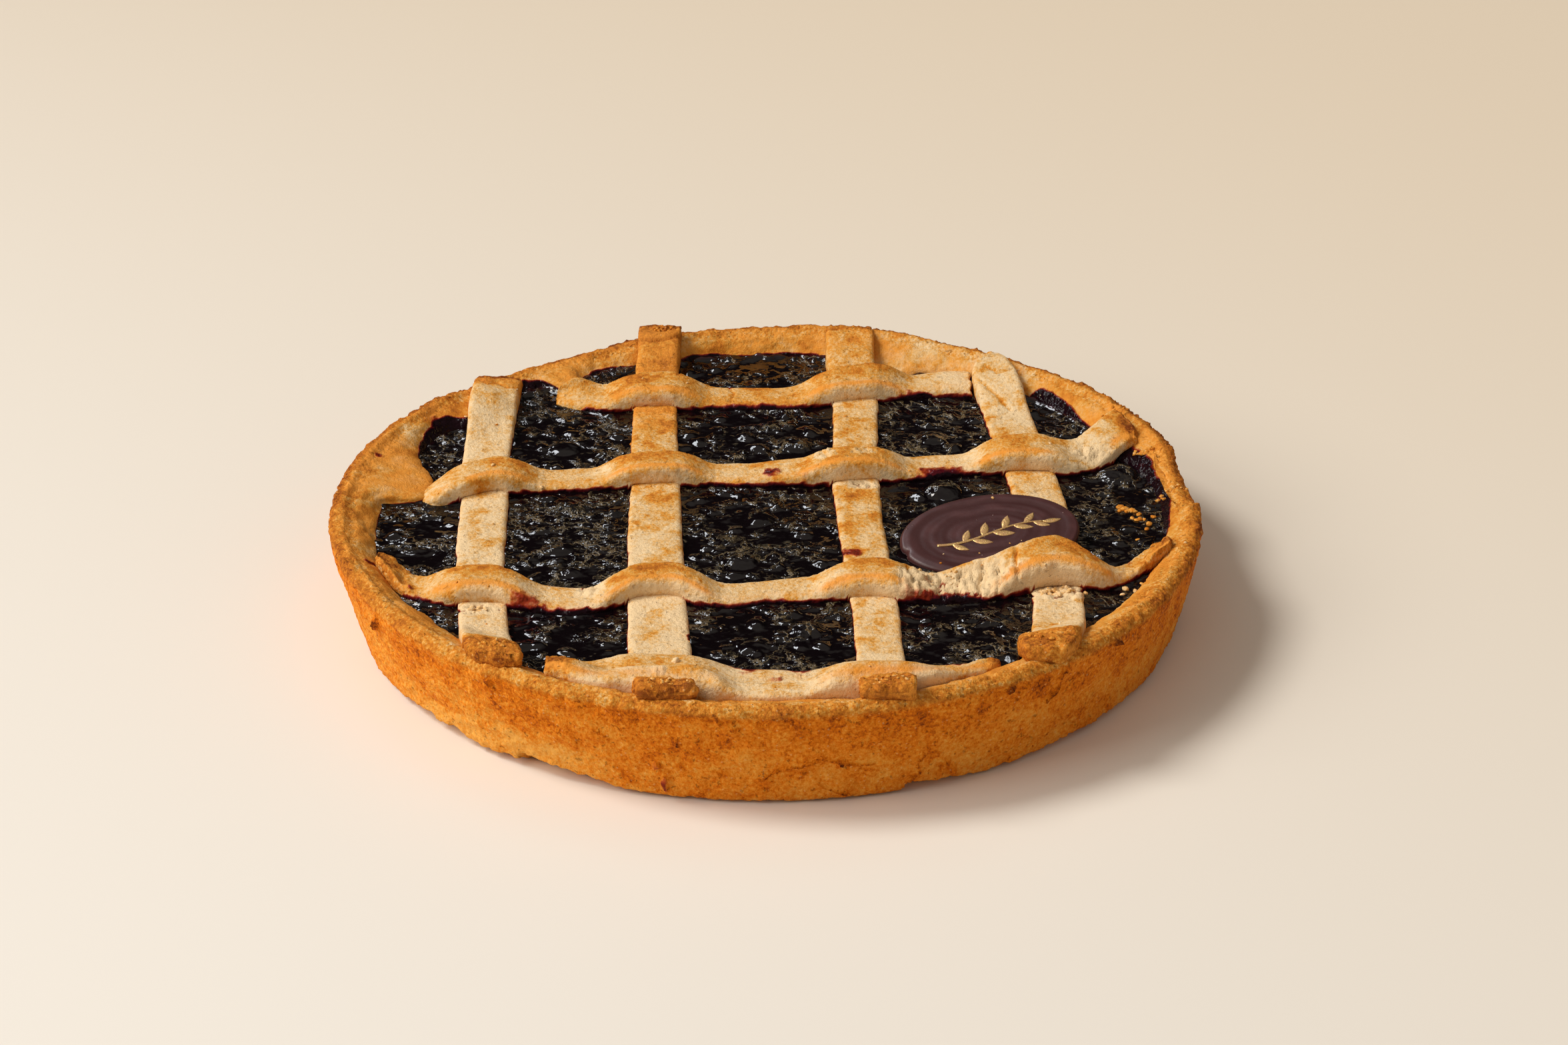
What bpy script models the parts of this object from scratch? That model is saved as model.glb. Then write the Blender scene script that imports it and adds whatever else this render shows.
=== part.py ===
"""A jam tart with a lattice top, as baked: a deep shortcrust case, its jam, eight strips of pastry
and an oval chocolate plaque that leans in the jam.

Metres, +Z up. The origin is the middle of the base, on the surface that the tart stands on. The
front of the tart faces -Y, and azimuths run anticlockwise from +X, so 90 degrees is the back.
"""

import math
from typing import NamedTuple

import bmesh
import bpy
import numpy as np
from mathutils import Matrix, Vector, noise

# Case: a flat base, a wall that leans outwards and a broad rim
BASE_RADIUS = 0.1152
RIM_RADIUS = 0.1218
RIM_HEIGHT = 0.0297
RIM_EDGE_RADIUS = 0.1146  # where the top of the rim turns down to the jam
FLOOR_HEIGHT = 0.0060
FLOOR_RADIUS = 0.1030
BASE_EDGE = 0.0015  # how far the underside stops short of the foot of the wall
WALL_BELLY = 0.0004
WALL_HEIGHTS = (0.0012, 0.0075, 0.0140, 0.0205)
CASE_SEGMENTS = 96
CASE_RELIEF = 0.00035
CASE_RELIEF_SCALE = 0.009
SMOOTH_CRUST = math.radians(50)  # crust and pastry are shaded smooth below this angle

# Jam
JAM_LEVEL = 0.0242
JAM_RADIUS = 0.1102
JAM_EDGE = 0.02  # share of the radius that stays level, round the edge
JAM_RINGS = 13
JAM_SEGMENTS = 48
JAM_LUMP = 0.0006
JAM_LUMP_SCALE = 0.012

GAP = 0.0003  # left between pieces that touch
SMALLEST = 1e-6  # lengths below this count as nothing

# Section of the case, as radius and height: over the rim from outside, then down to the floor
RIM_CORNERS = (
    (RIM_RADIUS - 0.0006, RIM_HEIGHT - 0.0035),
    (RIM_RADIUS, RIM_HEIGHT - 0.0013),
    (RIM_RADIUS - 0.0011, RIM_HEIGHT),
    (RIM_RADIUS - 0.0039, RIM_HEIGHT + 0.0002),
)
INNER_SLOPE = (
    (RIM_EDGE_RADIUS, RIM_HEIGHT - 0.0008),
    (RIM_EDGE_RADIUS - 0.0022, RIM_HEIGHT - 0.0027),
    (JAM_RADIUS + 0.0002, JAM_LEVEL + 0.0004),
)
BELOW_JAM = (
    ((JAM_RADIUS + FLOOR_RADIUS) / 2 + 0.0010, 0.0151),
    (FLOOR_RADIUS, FLOOR_HEIGHT),
)

# Pastry strips
CASE_CLEARANCE = 2 * GAP + CASE_RELIEF
CROSSING_GAP = 0.0007  # left between strips that cross
ALONG_BED = 0.0212  # underside of the strips that run front to back
ACROSS_BED = 0.0216
STEEPEST = 1.25  # slope that soft pastry takes as it bridges a step
FAIRNESS = 0.0006  # most that a strip's facets leave its true course
TRENCH_FAIRNESS = 0.0006
TRENCH_ROOM = 0.0004  # left under a strip where it lies in the jam
TRENCH_HEIGHT = 0.0060
LONGEST_FACET = 0.0120
SAMPLE = 0.001
BEND_SAMPLES = 5  # samples to each side over which a strip's course is smoothed
CREST_SAMPLES = 3  # and its top
CROSSING_MARGIN = 0.0015

# Plaque
PLAQUE_LENGTH = 0.0506
PLAQUE_WIDTH = 0.0361
PLAQUE_THICKNESS = 0.0026
PLAQUE_TOP_CENTRE = Vector((0.0614, -0.0175, 0.0280))
PLAQUE_LEAN = math.radians(10)  # back edge up
PLAQUE_BANK = math.radians(2)  # right end up
PLAQUE_TURN = math.radians(11)  # in its own plane
PLAQUE_SIDES = 36
PLAQUE_ROUNDING = 0.0008
SMOOTH_CHOCOLATE = math.radians(40)


class Swell(NamedTuple):
    """A stretch of the rim that is out of round or out of level."""

    azimuth: float
    half_width: float
    outward: float
    upward: float
    inner: float


RIM_SWELLS = (
    Swell(127, 14, 0.0000, -0.0024, 0.0000),
    Swell(77, 11, 0.0006, 0.0012, 0.0000),
    Swell(28, 16, 0.0016, 0.0000, 0.0012),
    Swell(7, 8, -0.0022, -0.0010, 0.0024),
    Swell(-9, 6, 0.0002, 0.0004, 0.0006),
    Swell(172, 26, 0.0019, 0.0000, 0.0012),
    Swell(-90, 52, 0.0006, 0.0013, 0.0006),
)


class Knot(NamedTuple):
    """A strip's course at one place: how far along it, its middle, its width and its thickness."""

    along: float
    across: float
    width: float
    thickness: float


# Strips that run front to back, laid first. Along is Y and across is X.
ALONG_STRIPS = {
    "strip_along_1": (
        Knot(-0.0910, -0.0712, 0.0148, 0.0034),
        Knot(-0.0830, -0.0730, 0.0140, 0.0038),
        Knot(-0.0740, -0.0748, 0.0134, 0.0044),
        Knot(-0.0440, -0.0782, 0.0134, 0.0044),
        Knot(-0.0200, -0.0800, 0.0139, 0.0045),
        Knot(0.0080, -0.0808, 0.0139, 0.0045),
        Knot(0.0400, -0.0824, 0.0139, 0.0045),
        Knot(0.0760, -0.0821, 0.0141, 0.0038),
        Knot(0.0850, -0.0816, 0.0142, 0.0012),
    ),
    "strip_along_2": (
        Knot(-0.1158, -0.0268, 0.0168, 0.0034),
        Knot(-0.1070, -0.0272, 0.0168, 0.0036),
        Knot(-0.0820, -0.0285, 0.0172, 0.0044),
        Knot(-0.0500, -0.0302, 0.0161, 0.0044),
        Knot(-0.0100, -0.0319, 0.0155, 0.0045),
        Knot(0.0190, -0.0325, 0.0145, 0.0045),
        Knot(0.0420, -0.0334, 0.0140, 0.0045),
        Knot(0.0720, -0.0341, 0.0131, 0.0045),
        Knot(0.1000, -0.0339, 0.0130, 0.0042),
        Knot(0.1150, -0.0336, 0.0134, 0.0026),
    ),
    "strip_along_3": (
        Knot(-0.1148, 0.0306, 0.0145, 0.0034),
        Knot(-0.1060, 0.0303, 0.0140, 0.0036),
        Knot(-0.0820, 0.0294, 0.0128, 0.0044),
        Knot(-0.0520, 0.0285, 0.0131, 0.0044),
        Knot(-0.0250, 0.0268, 0.0131, 0.0045),
        Knot(-0.0030, 0.0256, 0.0132, 0.0045),
        Knot(0.0170, 0.0250, 0.0136, 0.0045),
        Knot(0.0430, 0.0252, 0.0132, 0.0045),
        Knot(0.0740, 0.0259, 0.0138, 0.0045),
        Knot(0.1000, 0.0249, 0.0148, 0.0036),
        Knot(0.1120, 0.0248, 0.0149, 0.0012),
    ),
    "strip_along_4": (
        Knot(-0.0890, 0.0715, 0.0185, 0.0038),
        Knot(-0.0820, 0.0736, 0.0180, 0.0040),
        Knot(-0.0740, 0.0768, 0.0146, 0.0044),
        Knot(-0.0560, 0.0780, 0.0140, 0.0044),
        Knot(-0.0420, 0.0784, 0.0143, 0.0042),
        Knot(-0.0300, 0.0788, 0.0144, 0.0018),
        Knot(-0.0120, 0.0786, 0.0145, 0.0040),
        Knot(0.0050, 0.0775, 0.0146, 0.0045),
        Knot(0.0240, 0.0754, 0.0145, 0.0045),
        Knot(0.0500, 0.0728, 0.0146, 0.0045),
        Knot(0.0780, 0.0693, 0.0142, 0.0042),
        Knot(0.0900, 0.0682, 0.0144, 0.0030),
        Knot(0.0965, 0.0676, 0.0140, 0.0014),
    ),
}

# Strips that run across, laid over the others. Along is X and across is Y.
ACROSS_STRIPS = {
    "strip_across_1": (
        Knot(-0.0630, 0.0795, 0.0110, 0.0036),
        Knot(-0.0550, 0.0795, 0.0132, 0.0042),
        Knot(-0.0380, 0.0786, 0.0136, 0.0044),
        Knot(-0.0180, 0.0787, 0.0142, 0.0045),
        Knot(0.0040, 0.0785, 0.0142, 0.0045),
        Knot(0.0180, 0.0800, 0.0132, 0.0045),
        Knot(0.0300, 0.0823, 0.0132, 0.0044),
        Knot(0.0400, 0.0840, 0.0136, 0.0044),
        Knot(0.0500, 0.0866, 0.0134, 0.0044),
        Knot(0.0565, 0.0868, 0.0140, 0.0042),
    ),
    "strip_across_2": (
        Knot(-0.1110, 0.0325, 0.0110, 0.0022),
        Knot(-0.1040, 0.0270, 0.0125, 0.0036),
        Knot(-0.0960, 0.0208, 0.0132, 0.0042),
        Knot(-0.0890, 0.0200, 0.0138, 0.0044),
        Knot(-0.0800, 0.0216, 0.0138, 0.0044),
        Knot(-0.0650, 0.0224, 0.0134, 0.0044),
        Knot(-0.0500, 0.0240, 0.0128, 0.0044),
        Knot(-0.0330, 0.0250, 0.0124, 0.0044),
        Knot(-0.0180, 0.0260, 0.0124, 0.0044),
        Knot(-0.0060, 0.0256, 0.0130, 0.0046),
        Knot(0.0060, 0.0258, 0.0132, 0.0060),
        Knot(0.0190, 0.0256, 0.0124, 0.0055),
        Knot(0.0290, 0.0268, 0.0114, 0.0050),
        Knot(0.0360, 0.0275, 0.0122, 0.0046),
        Knot(0.0440, 0.0298, 0.0144, 0.0044),
        Knot(0.0560, 0.0318, 0.0124, 0.0044),
        Knot(0.0660, 0.0324, 0.0134, 0.0048),
        Knot(0.0740, 0.0333, 0.0152, 0.0056),
        Knot(0.0850, 0.0338, 0.0152, 0.0046),
        Knot(0.0950, 0.0365, 0.0140, 0.0036),
        Knot(0.1020, 0.0398, 0.0126, 0.0028),
        Knot(0.1075, 0.0428, 0.0110, 0.0016),
    ),
    "strip_across_3": (
        Knot(-0.1085, -0.0325, 0.0110, 0.0034),
        Knot(-0.1000, -0.0380, 0.0116, 0.0038),
        Knot(-0.0930, -0.0430, 0.0128, 0.0042),
        Knot(-0.0860, -0.0454, 0.0144, 0.0044),
        Knot(-0.0740, -0.0450, 0.0146, 0.0044),
        Knot(-0.0640, -0.0482, 0.0152, 0.0044),
        Knot(-0.0520, -0.0506, 0.0146, 0.0044),
        Knot(-0.0430, -0.0484, 0.0130, 0.0044),
        Knot(-0.0350, -0.0438, 0.0118, 0.0045),
        Knot(-0.0260, -0.0432, 0.0116, 0.0046),
        Knot(-0.0160, -0.0474, 0.0132, 0.0046),
        Knot(-0.0080, -0.0480, 0.0124, 0.0045),
        Knot(0.0000, -0.0456, 0.0112, 0.0045),
        Knot(0.0100, -0.0450, 0.0138, 0.0048),
        Knot(0.0190, -0.0438, 0.0134, 0.0046),
        Knot(0.0280, -0.0428, 0.0150, 0.0046),
        Knot(0.0380, -0.0448, 0.0156, 0.0050),
        Knot(0.0500, -0.0446, 0.0158, 0.0050),
        Knot(0.0600, -0.0430, 0.0162, 0.0052),
        Knot(0.0700, -0.0390, 0.0164, 0.0074),
        Knot(0.0790, -0.0362, 0.0168, 0.0080),
        Knot(0.0880, -0.0380, 0.0158, 0.0066),
        Knot(0.0950, -0.0390, 0.0126, 0.0042),
        Knot(0.1020, -0.0352, 0.0116, 0.0038),
        Knot(0.1100, -0.0295, 0.0105, 0.0026),
    ),
    "strip_across_4": (
        Knot(-0.0580, -0.0930, 0.0110, 0.0036),
        Knot(-0.0400, -0.0938, 0.0126, 0.0042),
        Knot(-0.0280, -0.0946, 0.0134, 0.0042),
        Knot(-0.0120, -0.0944, 0.0130, 0.0044),
        Knot(0.0080, -0.0962, 0.0124, 0.0044),
        Knot(0.0220, -0.0950, 0.0130, 0.0042),
        Knot(0.0300, -0.0946, 0.0132, 0.0040),
        Knot(0.0420, -0.0935, 0.0124, 0.0044),
        Knot(0.0590, -0.0910, 0.0108, 0.0034),
    ),
}

# Lanes are lines along a strip, as shares of its width from the middle. At each one the strip feels
# for what lies under it, out to half way to the next.
LANES = (-0.42, -0.21, 0.0, 0.21, 0.42)
LANE_REACH = 0.11


class Corner(NamedTuple):
    """A corner of a strip's section: its place across, its height above the underside, its lane."""

    share: float
    level: float
    lane: int


SECTION = (
    Corner(-0.5, 0.46, 0),
    Corner(-0.37, 0.92, 0),
    Corner(0.0, 1.0, 2),
    Corner(0.37, 0.92, 4),
    Corner(0.5, 0.46, 4),
    *(Corner(share, 0.0, lane) for lane, share in reversed(list(enumerate(LANES)))),
)

BERRIES = (  # whole berries that stand out of the jam: x, y, radius, height
    (0.0500, 0.0165, 0.0055, 0.0016),
    (0.1005, 0.0270, 0.0060, 0.0015),
    (-0.0080, -0.0260, 0.0050, 0.0010),
    (-0.0560, 0.0080, 0.0045, 0.0009),
)

# Colour, roughness and metallic value of each finish
CASE_FINISH = ((0.62, 0.33, 0.13, 1), 0.85, 0.0)
STRIP_FINISH = ((0.80, 0.52, 0.24, 1), 0.75, 0.0)
JAM_FINISH = ((0.012, 0.004, 0.008, 1), 0.08, 0.0)
CHOCOLATE_FINISH = ((0.060, 0.016, 0.020, 1), 0.30, 0.0)


# Shape of the case


def swell_share(swell, azimuth):
    """How strongly a swell acts at an azimuth in degrees: 1 in its middle, falling away at its ends."""
    away = (azimuth - swell.azimuth + 180) % 360 - 180
    return math.exp(-((away / swell.half_width) ** 4))


def shaped(radius, azimuth, height):
    """Where the uneven case has the point that a true round case has at this radius and height."""
    grown = min(max(height / RIM_HEIGHT, 0), 1)
    inside = FLOOR_HEIGHT <= height and radius < RIM_EDGE_RADIUS + GAP
    outward = sum(
        swell_share(swell, azimuth) * (swell.inner if inside else swell.outward) for swell in RIM_SWELLS
    )
    upward = sum(swell_share(swell, azimuth) * swell.upward for swell in RIM_SWELLS)
    return radius + outward * grown, height + upward * grown**3


def wall_profile():
    """Radius and height up the outside, from the middle of the underside to the rim."""
    lean = (RIM_RADIUS - BASE_RADIUS) / RIM_HEIGHT
    wall = [(BASE_RADIUS + lean * height + WALL_BELLY, height) for height in WALL_HEIGHTS]
    return [(0, 0), (BASE_RADIUS - BASE_EDGE, 0), *wall]


def case_top(x, y):
    """Height of the inside of the case or of its rim at a point."""
    azimuth = math.degrees(math.atan2(y, x))
    profile = [*reversed(BELOW_JAM), *reversed(INNER_SLOPE), *reversed(RIM_CORNERS)]
    points = [shaped(radius, azimuth, height) for radius, height in profile]
    radii, heights = zip(*points)
    return float(np.interp(math.hypot(x, y), radii, heights))


def new_piece(name, mesh, finish):
    """An object of this mesh in the scene, with a material of its own."""
    colour, roughness, metallic = finish
    mesh.name = name
    material = bpy.data.materials.new(name)
    material.use_nodes = True
    shader = material.node_tree.nodes["Principled BSDF"]
    shader.inputs["Base Color"].default_value = colour
    shader.inputs["Roughness"].default_value = roughness
    shader.inputs["Metallic"].default_value = metallic
    mesh.materials.append(material)
    piece = bpy.data.objects.new(name, mesh)
    bpy.context.scene.collection.objects.link(piece)
    return piece


def finished_mesh(work, smooth_below):
    """The mesh of a bmesh, facing out, shaded smooth where its faces meet at less than an angle."""
    bmesh.ops.recalc_face_normals(work, faces=work.faces)
    if work.calc_volume(signed=True) < 0:
        bmesh.ops.reverse_faces(work, faces=work.faces)
    mesh = bpy.data.meshes.new("piece")
    work.to_mesh(mesh)
    work.free()
    mesh.shade_smooth()
    mesh.set_sharp_from_angle(angle=smooth_below)
    return mesh


def turned(profile, segments):
    """A closed solid turned about Z from a profile that starts and ends on the axis."""
    work = bmesh.new()
    points = [work.verts.new((radius, 0, height)) for radius, height in profile]
    edges = [work.edges.new(ends) for ends in zip(points, points[1:])]
    bmesh.ops.spin(
        work,
        geom=[*points, *edges],
        cent=(0, 0, 0),
        axis=(0, 0, 1),
        steps=segments,
        angle=math.tau,
        use_merge=True,
    )
    bmesh.ops.remove_doubles(work, verts=work.verts, dist=SMALLEST)
    return work


def move_to_shape(work):
    """Gives a turned solid the case's own unevenness."""
    for vertex in work.verts:
        x, y, height = vertex.co
        radius = math.hypot(x, y)
        if radius < SMALLEST:
            continue
        new_radius, new_height = shaped(radius, math.degrees(math.atan2(y, x)), height)
        vertex.co = (x * new_radius / radius, y * new_radius / radius, new_height)


def roughen(work, depth, scale, moves):
    """Moves the vertices for which moves(vertex) is true in and out, as a crumbly surface lies."""
    work.normal_update()
    for vertex in [v for v in work.verts if moves(v)]:
        vertex.co += vertex.normal * depth * noise.noise(vertex.co / scale)


def case():
    """The shortcrust case, with its base, wall and rim."""
    profile = [*wall_profile(), *RIM_CORNERS, *INNER_SLOPE, *BELOW_JAM, (0, FLOOR_HEIGHT)]
    work = turned(profile, CASE_SEGMENTS)
    move_to_shape(work)

    def shows(vertex):
        return vertex.co.z > GAP and vertex.co.xy.length > RIM_EDGE_RADIUS - GAP

    roughen(work, CASE_RELIEF, CASE_RELIEF_SCALE, shows)
    return new_piece("case", finished_mesh(work, SMOOTH_CRUST), CASE_FINISH)


# Shape of the jam


def jam_height(x, y):
    """Height of the lumpy top of the jam."""
    lumps = JAM_LUMP * noise.fractal(Vector((x, y, 0)) / JAM_LUMP_SCALE, 1.0, 2.0, 2)
    for berry_x, berry_y, radius, rise in BERRIES:
        away = math.hypot(x - berry_x, y - berry_y) / radius
        lumps = max(lumps, rise * (1 - away**2))
    return JAM_LEVEL + lumps


def jam(beds):
    """The jam, up to its level, with hollows where the strips and the plaque lie in it."""
    floor = FLOOR_HEIGHT + GAP
    side = [(radius - GAP, max(height, floor)) for radius, height in reversed(BELOW_JAM)]
    edge_radius = JAM_RADIUS - GAP
    rings = [(edge_radius * ring / JAM_RINGS, JAM_LEVEL) for ring in range(JAM_RINGS, -1, -1)]
    work = turned([(0, floor), *side, *rings], JAM_SEGMENTS)
    top = [vertex for vertex in work.verts if vertex.co.z > JAM_LEVEL - SMALLEST]
    lumpy = [vertex for vertex in top if vertex.co.xy.length < edge_radius * (1 - JAM_EDGE)]
    move_to_shape(work)
    for vertex in lumpy:
        vertex.co.z = jam_height(vertex.co.x, vertex.co.y)
    piece = new_piece("jam", finished_mesh(work, SMOOTH_CRUST), JAM_FINISH)
    hollows = piece.modifiers.new("hollows", "BOOLEAN")
    hollows.operation = "DIFFERENCE"
    hollows.operand_type = "COLLECTION"
    hollows.collection = beds
    return piece


# Shape of the strips


def relaxed(values, reach=BEND_SAMPLES):
    """A run of samples smoothed over this many to each side, its ends kept."""
    window = np.hanning(2 * reach + 3)[1:-1]
    padded = np.pad(values, reach, mode="reflect", reflect_type="odd")
    return np.convolve(padded, window / window.sum(), mode="valid")


class Course:
    """A strip's course, sampled finely from end to end, and how it lies on what is under it."""

    def __init__(self, knots, runs_across, bed, supports):
        alongs, acrosses, widths, thicknesses = (np.array(column) for column in zip(*knots))
        count = int(round((alongs[-1] - alongs[0]) / SAMPLE)) + 1
        self.runs_across = runs_across
        self.along = np.linspace(alongs[0], alongs[-1], count)
        self.across = relaxed(np.interp(self.along, alongs, acrosses))
        self.width = relaxed(np.interp(self.along, alongs, widths))
        self.thickness = relaxed(np.interp(self.along, alongs, thicknesses))
        self.apart = np.abs(self.along[:, None] - self.along[None, :])
        self.under = [self.underside(share, bed, supports) for share in LANES]
        self.over = [self.top(under) for under in self.under]

    def place(self, index, share):
        """World X and Y of the point this share of the width from the middle of the strip."""
        along, across = self.along[index], self.across[index] + share * self.width[index]
        return (along, across) if self.runs_across else (across, along)

    def underside(self, share, bed, supports):
        """Height of the underside along one lane, bridging what is too steep to follow."""
        rests = []
        for index in range(len(self.along)):
            near = [self.place(index, share + step) for step in (-LANE_REACH, 0, LANE_REACH)]
            rests.append(max([bed, *(support(x, y) for support in supports for x, y in near)]))
        return (np.array(rests)[None, :] - STEEPEST * self.apart).max(axis=1)

    def top(self, under):
        """Height of the top: as far from the underside everywhere as the strip is thick."""
        reach = np.sqrt(np.maximum(self.thickness[None, :] ** 2 - self.apart**2, 0))
        covered = np.where(self.apart <= self.thickness[None, :], under[None, :] + reach, 0)
        return relaxed(covered.max(axis=1), CREST_SAMPLES)

    def top_at(self, x, y):
        """Height of the top at a point, or 0 where the strip isn't."""
        along, across = (x, y) if self.runs_across else (y, x)
        if not self.along[0] - CROSSING_MARGIN <= along <= self.along[-1] + CROSSING_MARGIN:
            return 0
        middle = np.interp(along, self.along, self.across)
        half_width = np.interp(along, self.along, self.width) / 2 + CROSSING_MARGIN
        if abs(across - middle) > half_width:
            return 0
        return max(float(np.interp(along, self.along, over)) for over in self.over[::2])

    def section(self, index):
        """Points round the strip's section at one sample."""
        points = []
        for corner in SECTION:
            under, over = self.under[corner.lane][index], self.over[corner.lane][index]
            x, y = self.place(index, corner.share)
            points.append((x, y, under + corner.level * (over - under)))
        return points

    def trench_section(self, index):
        """Points round the hollow that the strip needs in the jam at one sample."""
        share = 0.5 + GAP / self.width[index]
        floor = min(under[index] for under in self.under) - GAP - TRENCH_ROOM
        left, right = self.place(index, -share), self.place(index, share)
        roof = floor + TRENCH_HEIGHT
        return [(*left, floor), (*left, roof), (*right, roof), (*right, floor)]


def stations(places, lines, first, last, fairness):
    """Samples between two others that are needed for straight facets to keep to these lines."""
    if last - first < 2:
        return []
    stretch, ends = places[first : last + 1], [first, last]
    astray = max(
        abs(line[first : last + 1] - np.interp(stretch, places[ends], line[ends])).max() for line in lines
    )
    if astray <= fairness and places[last] - places[first] <= LONGEST_FACET:
        return []
    middle = (first + last) // 2
    before = stations(places, lines, first, middle, fairness)
    return [*before, middle, *stations(places, lines, middle, last, fairness)]


def swept(sections):
    """A closed sweep through a run of sections."""
    work = bmesh.new()
    loops = []
    for section in sections:
        ring = [work.verts.new(point) for point in section]
        loops.append([work.edges.new(ends) for ends in zip(ring, ring[1:] + ring[:1])])
    for near, far in zip(loops, loops[1:]):
        bmesh.ops.bridge_loops(work, edges=[*near, *far])
    for end in (loops[0], loops[-1]):
        bmesh.ops.contextual_create(work, geom=end)
    return finished_mesh(work, SMOOTH_CRUST)


def strip_mesh(course):
    """One strip of pastry."""
    last = len(course.along) - 1
    lines = [*course.under, *course.over[::2], course.across]
    indices = [0, *stations(course.along, lines, 0, last, FAIRNESS), last]
    return swept([course.section(index) for index in indices])


def trench_mesh(course):
    """The hollow that one strip presses into the jam."""
    last = len(course.along) - 1
    lines = [course.under[0], course.under[-1], course.across]
    indices = [0, *stations(course.along, lines, 0, last, TRENCH_FAIRNESS), last]
    return swept([course.trench_section(index) for index in indices])


def lay_strips():
    """The courses of all the strips, each resting on what was laid before it."""

    def on_case(x, y):
        return case_top(x, y) + CASE_CLEARANCE

    courses = {
        name: Course(knots, False, ALONG_BED, [on_case]) for name, knots in ALONG_STRIPS.items()
    }
    below = list(courses.values())

    def on_strips(x, y):
        return max(course.top_at(x, y) for course in below) + CROSSING_GAP

    supports = [on_case, on_strips, on_plaque]
    for name, knots in ACROSS_STRIPS.items():
        courses[name] = Course(knots, True, ACROSS_BED, supports)
    return courses


# Shape of the plaque


def plaque_frame():
    """The plaque's pose: turned in its own plane, banked to one side and leant back."""
    return (
        Matrix.Translation(PLAQUE_TOP_CENTRE)
        @ Matrix.Rotation(PLAQUE_LEAN, 4, "X")
        @ Matrix.Rotation(-PLAQUE_BANK, 4, "Y")
        @ Matrix.Rotation(PLAQUE_TURN, 4, "Z")
    )


def on_plaque(x, y):
    """Height of the top of the plaque, with room to spare, or 0 beside it."""
    frame = plaque_frame()
    normal = frame.to_3x3() @ Vector((0, 0, 1))
    centre = frame.translation
    height = centre.z - (normal.x * (x - centre.x) + normal.y * (y - centre.y)) / normal.z
    local = frame.inverted() @ Vector((x, y, height))
    half_length = PLAQUE_LENGTH / 2 + CROSSING_MARGIN
    half_width = PLAQUE_WIDTH / 2 + CROSSING_MARGIN
    inside = (local.x / half_length) ** 2 + (local.y / half_width) ** 2 < 1
    return height + CROSSING_GAP if inside else 0


def plaque_mesh(swollen=0.0):
    """An oval slab with rounded edges, its top at Z 0."""
    work = bmesh.new()
    bmesh.ops.create_circle(work, cap_ends=True, segments=PLAQUE_SIDES, radius=1)
    size = (PLAQUE_LENGTH / 2 + swollen, PLAQUE_WIDTH / 2 + swollen, 1)
    bmesh.ops.scale(work, vec=size, verts=work.verts)
    raised = bmesh.ops.extrude_face_region(work, geom=list(work.faces))["geom"]
    raised = [part for part in raised if isinstance(part, bmesh.types.BMVert)]
    depth = PLAQUE_THICKNESS + 2 * swollen
    bmesh.ops.translate(work, vec=(0, 0, -depth), verts=raised)
    bmesh.ops.translate(work, vec=(0, 0, swollen), verts=work.verts)
    rims = [edge for edge in work.edges if abs(edge.verts[0].co.z - edge.verts[1].co.z) < SMALLEST]
    bmesh.ops.bevel(work, geom=rims, offset=PLAQUE_ROUNDING, segments=2, affect="EDGES", profile=0.5)
    return finished_mesh(work, SMOOTH_CHOCOLATE)


# The whole tart


def guide(name, mesh, collection):
    """A hidden cutter in a collection of its own."""
    cutter = bpy.data.objects.new(name, mesh)
    cutter.hide_render = True
    cutter.display_type = "WIRE"
    collection.objects.link(cutter)
    return cutter


def main():
    for thing in list(bpy.data.objects):
        bpy.data.objects.remove(thing)
    beds = bpy.data.collections.new("beds")
    bpy.context.scene.collection.children.link(beds)
    tart = bpy.data.objects.new("tart", None)
    bpy.context.scene.collection.objects.link(tart)

    pieces = [case()]
    for name, course in lay_strips().items():
        pieces.append(new_piece(name, strip_mesh(course), STRIP_FINISH))
        guide(name + "_trench", trench_mesh(course), beds)
    plaque = new_piece("plaque", plaque_mesh(), CHOCOLATE_FINISH)
    plaque.matrix_world = plaque_frame()
    pieces.append(plaque)
    guide("plaque_bed", plaque_mesh(GAP), beds).matrix_world = plaque_frame()
    pieces.append(jam(beds))
    for piece in pieces:
        piece.parent = tart


main()
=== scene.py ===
import itertools
import logging
import math
from collections.abc import Callable, Iterable, Sequence
from dataclasses import dataclass, field
from enum import Enum
from functools import cached_property
from typing import Any

import bmesh
import bpy
import numpy as np
from mathutils import Matrix, Vector
from mathutils.bvhtree import BVHTree


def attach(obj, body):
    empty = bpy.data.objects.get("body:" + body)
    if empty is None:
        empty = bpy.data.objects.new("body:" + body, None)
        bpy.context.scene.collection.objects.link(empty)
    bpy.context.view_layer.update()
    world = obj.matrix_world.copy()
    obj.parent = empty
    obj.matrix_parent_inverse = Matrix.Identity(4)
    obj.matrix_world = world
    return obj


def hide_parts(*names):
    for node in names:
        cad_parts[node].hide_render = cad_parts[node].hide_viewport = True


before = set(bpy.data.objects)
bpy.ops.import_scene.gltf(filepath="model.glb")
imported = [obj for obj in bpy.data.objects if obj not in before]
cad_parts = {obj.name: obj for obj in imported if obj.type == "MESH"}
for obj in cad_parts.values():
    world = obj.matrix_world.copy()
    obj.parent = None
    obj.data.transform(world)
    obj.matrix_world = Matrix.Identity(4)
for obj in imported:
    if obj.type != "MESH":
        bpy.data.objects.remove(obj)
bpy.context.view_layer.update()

LOG = logging.getLogger("tart")
MM = 0.001
# Sizes that several parts of the tart share
RIM_RADIUS = 121.8 * MM
JAM_LEVEL = 24.2 * MM
STRIP_WIDTH = 14 * MM
STRIP_THICKNESS = 4.5 * MM

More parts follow.
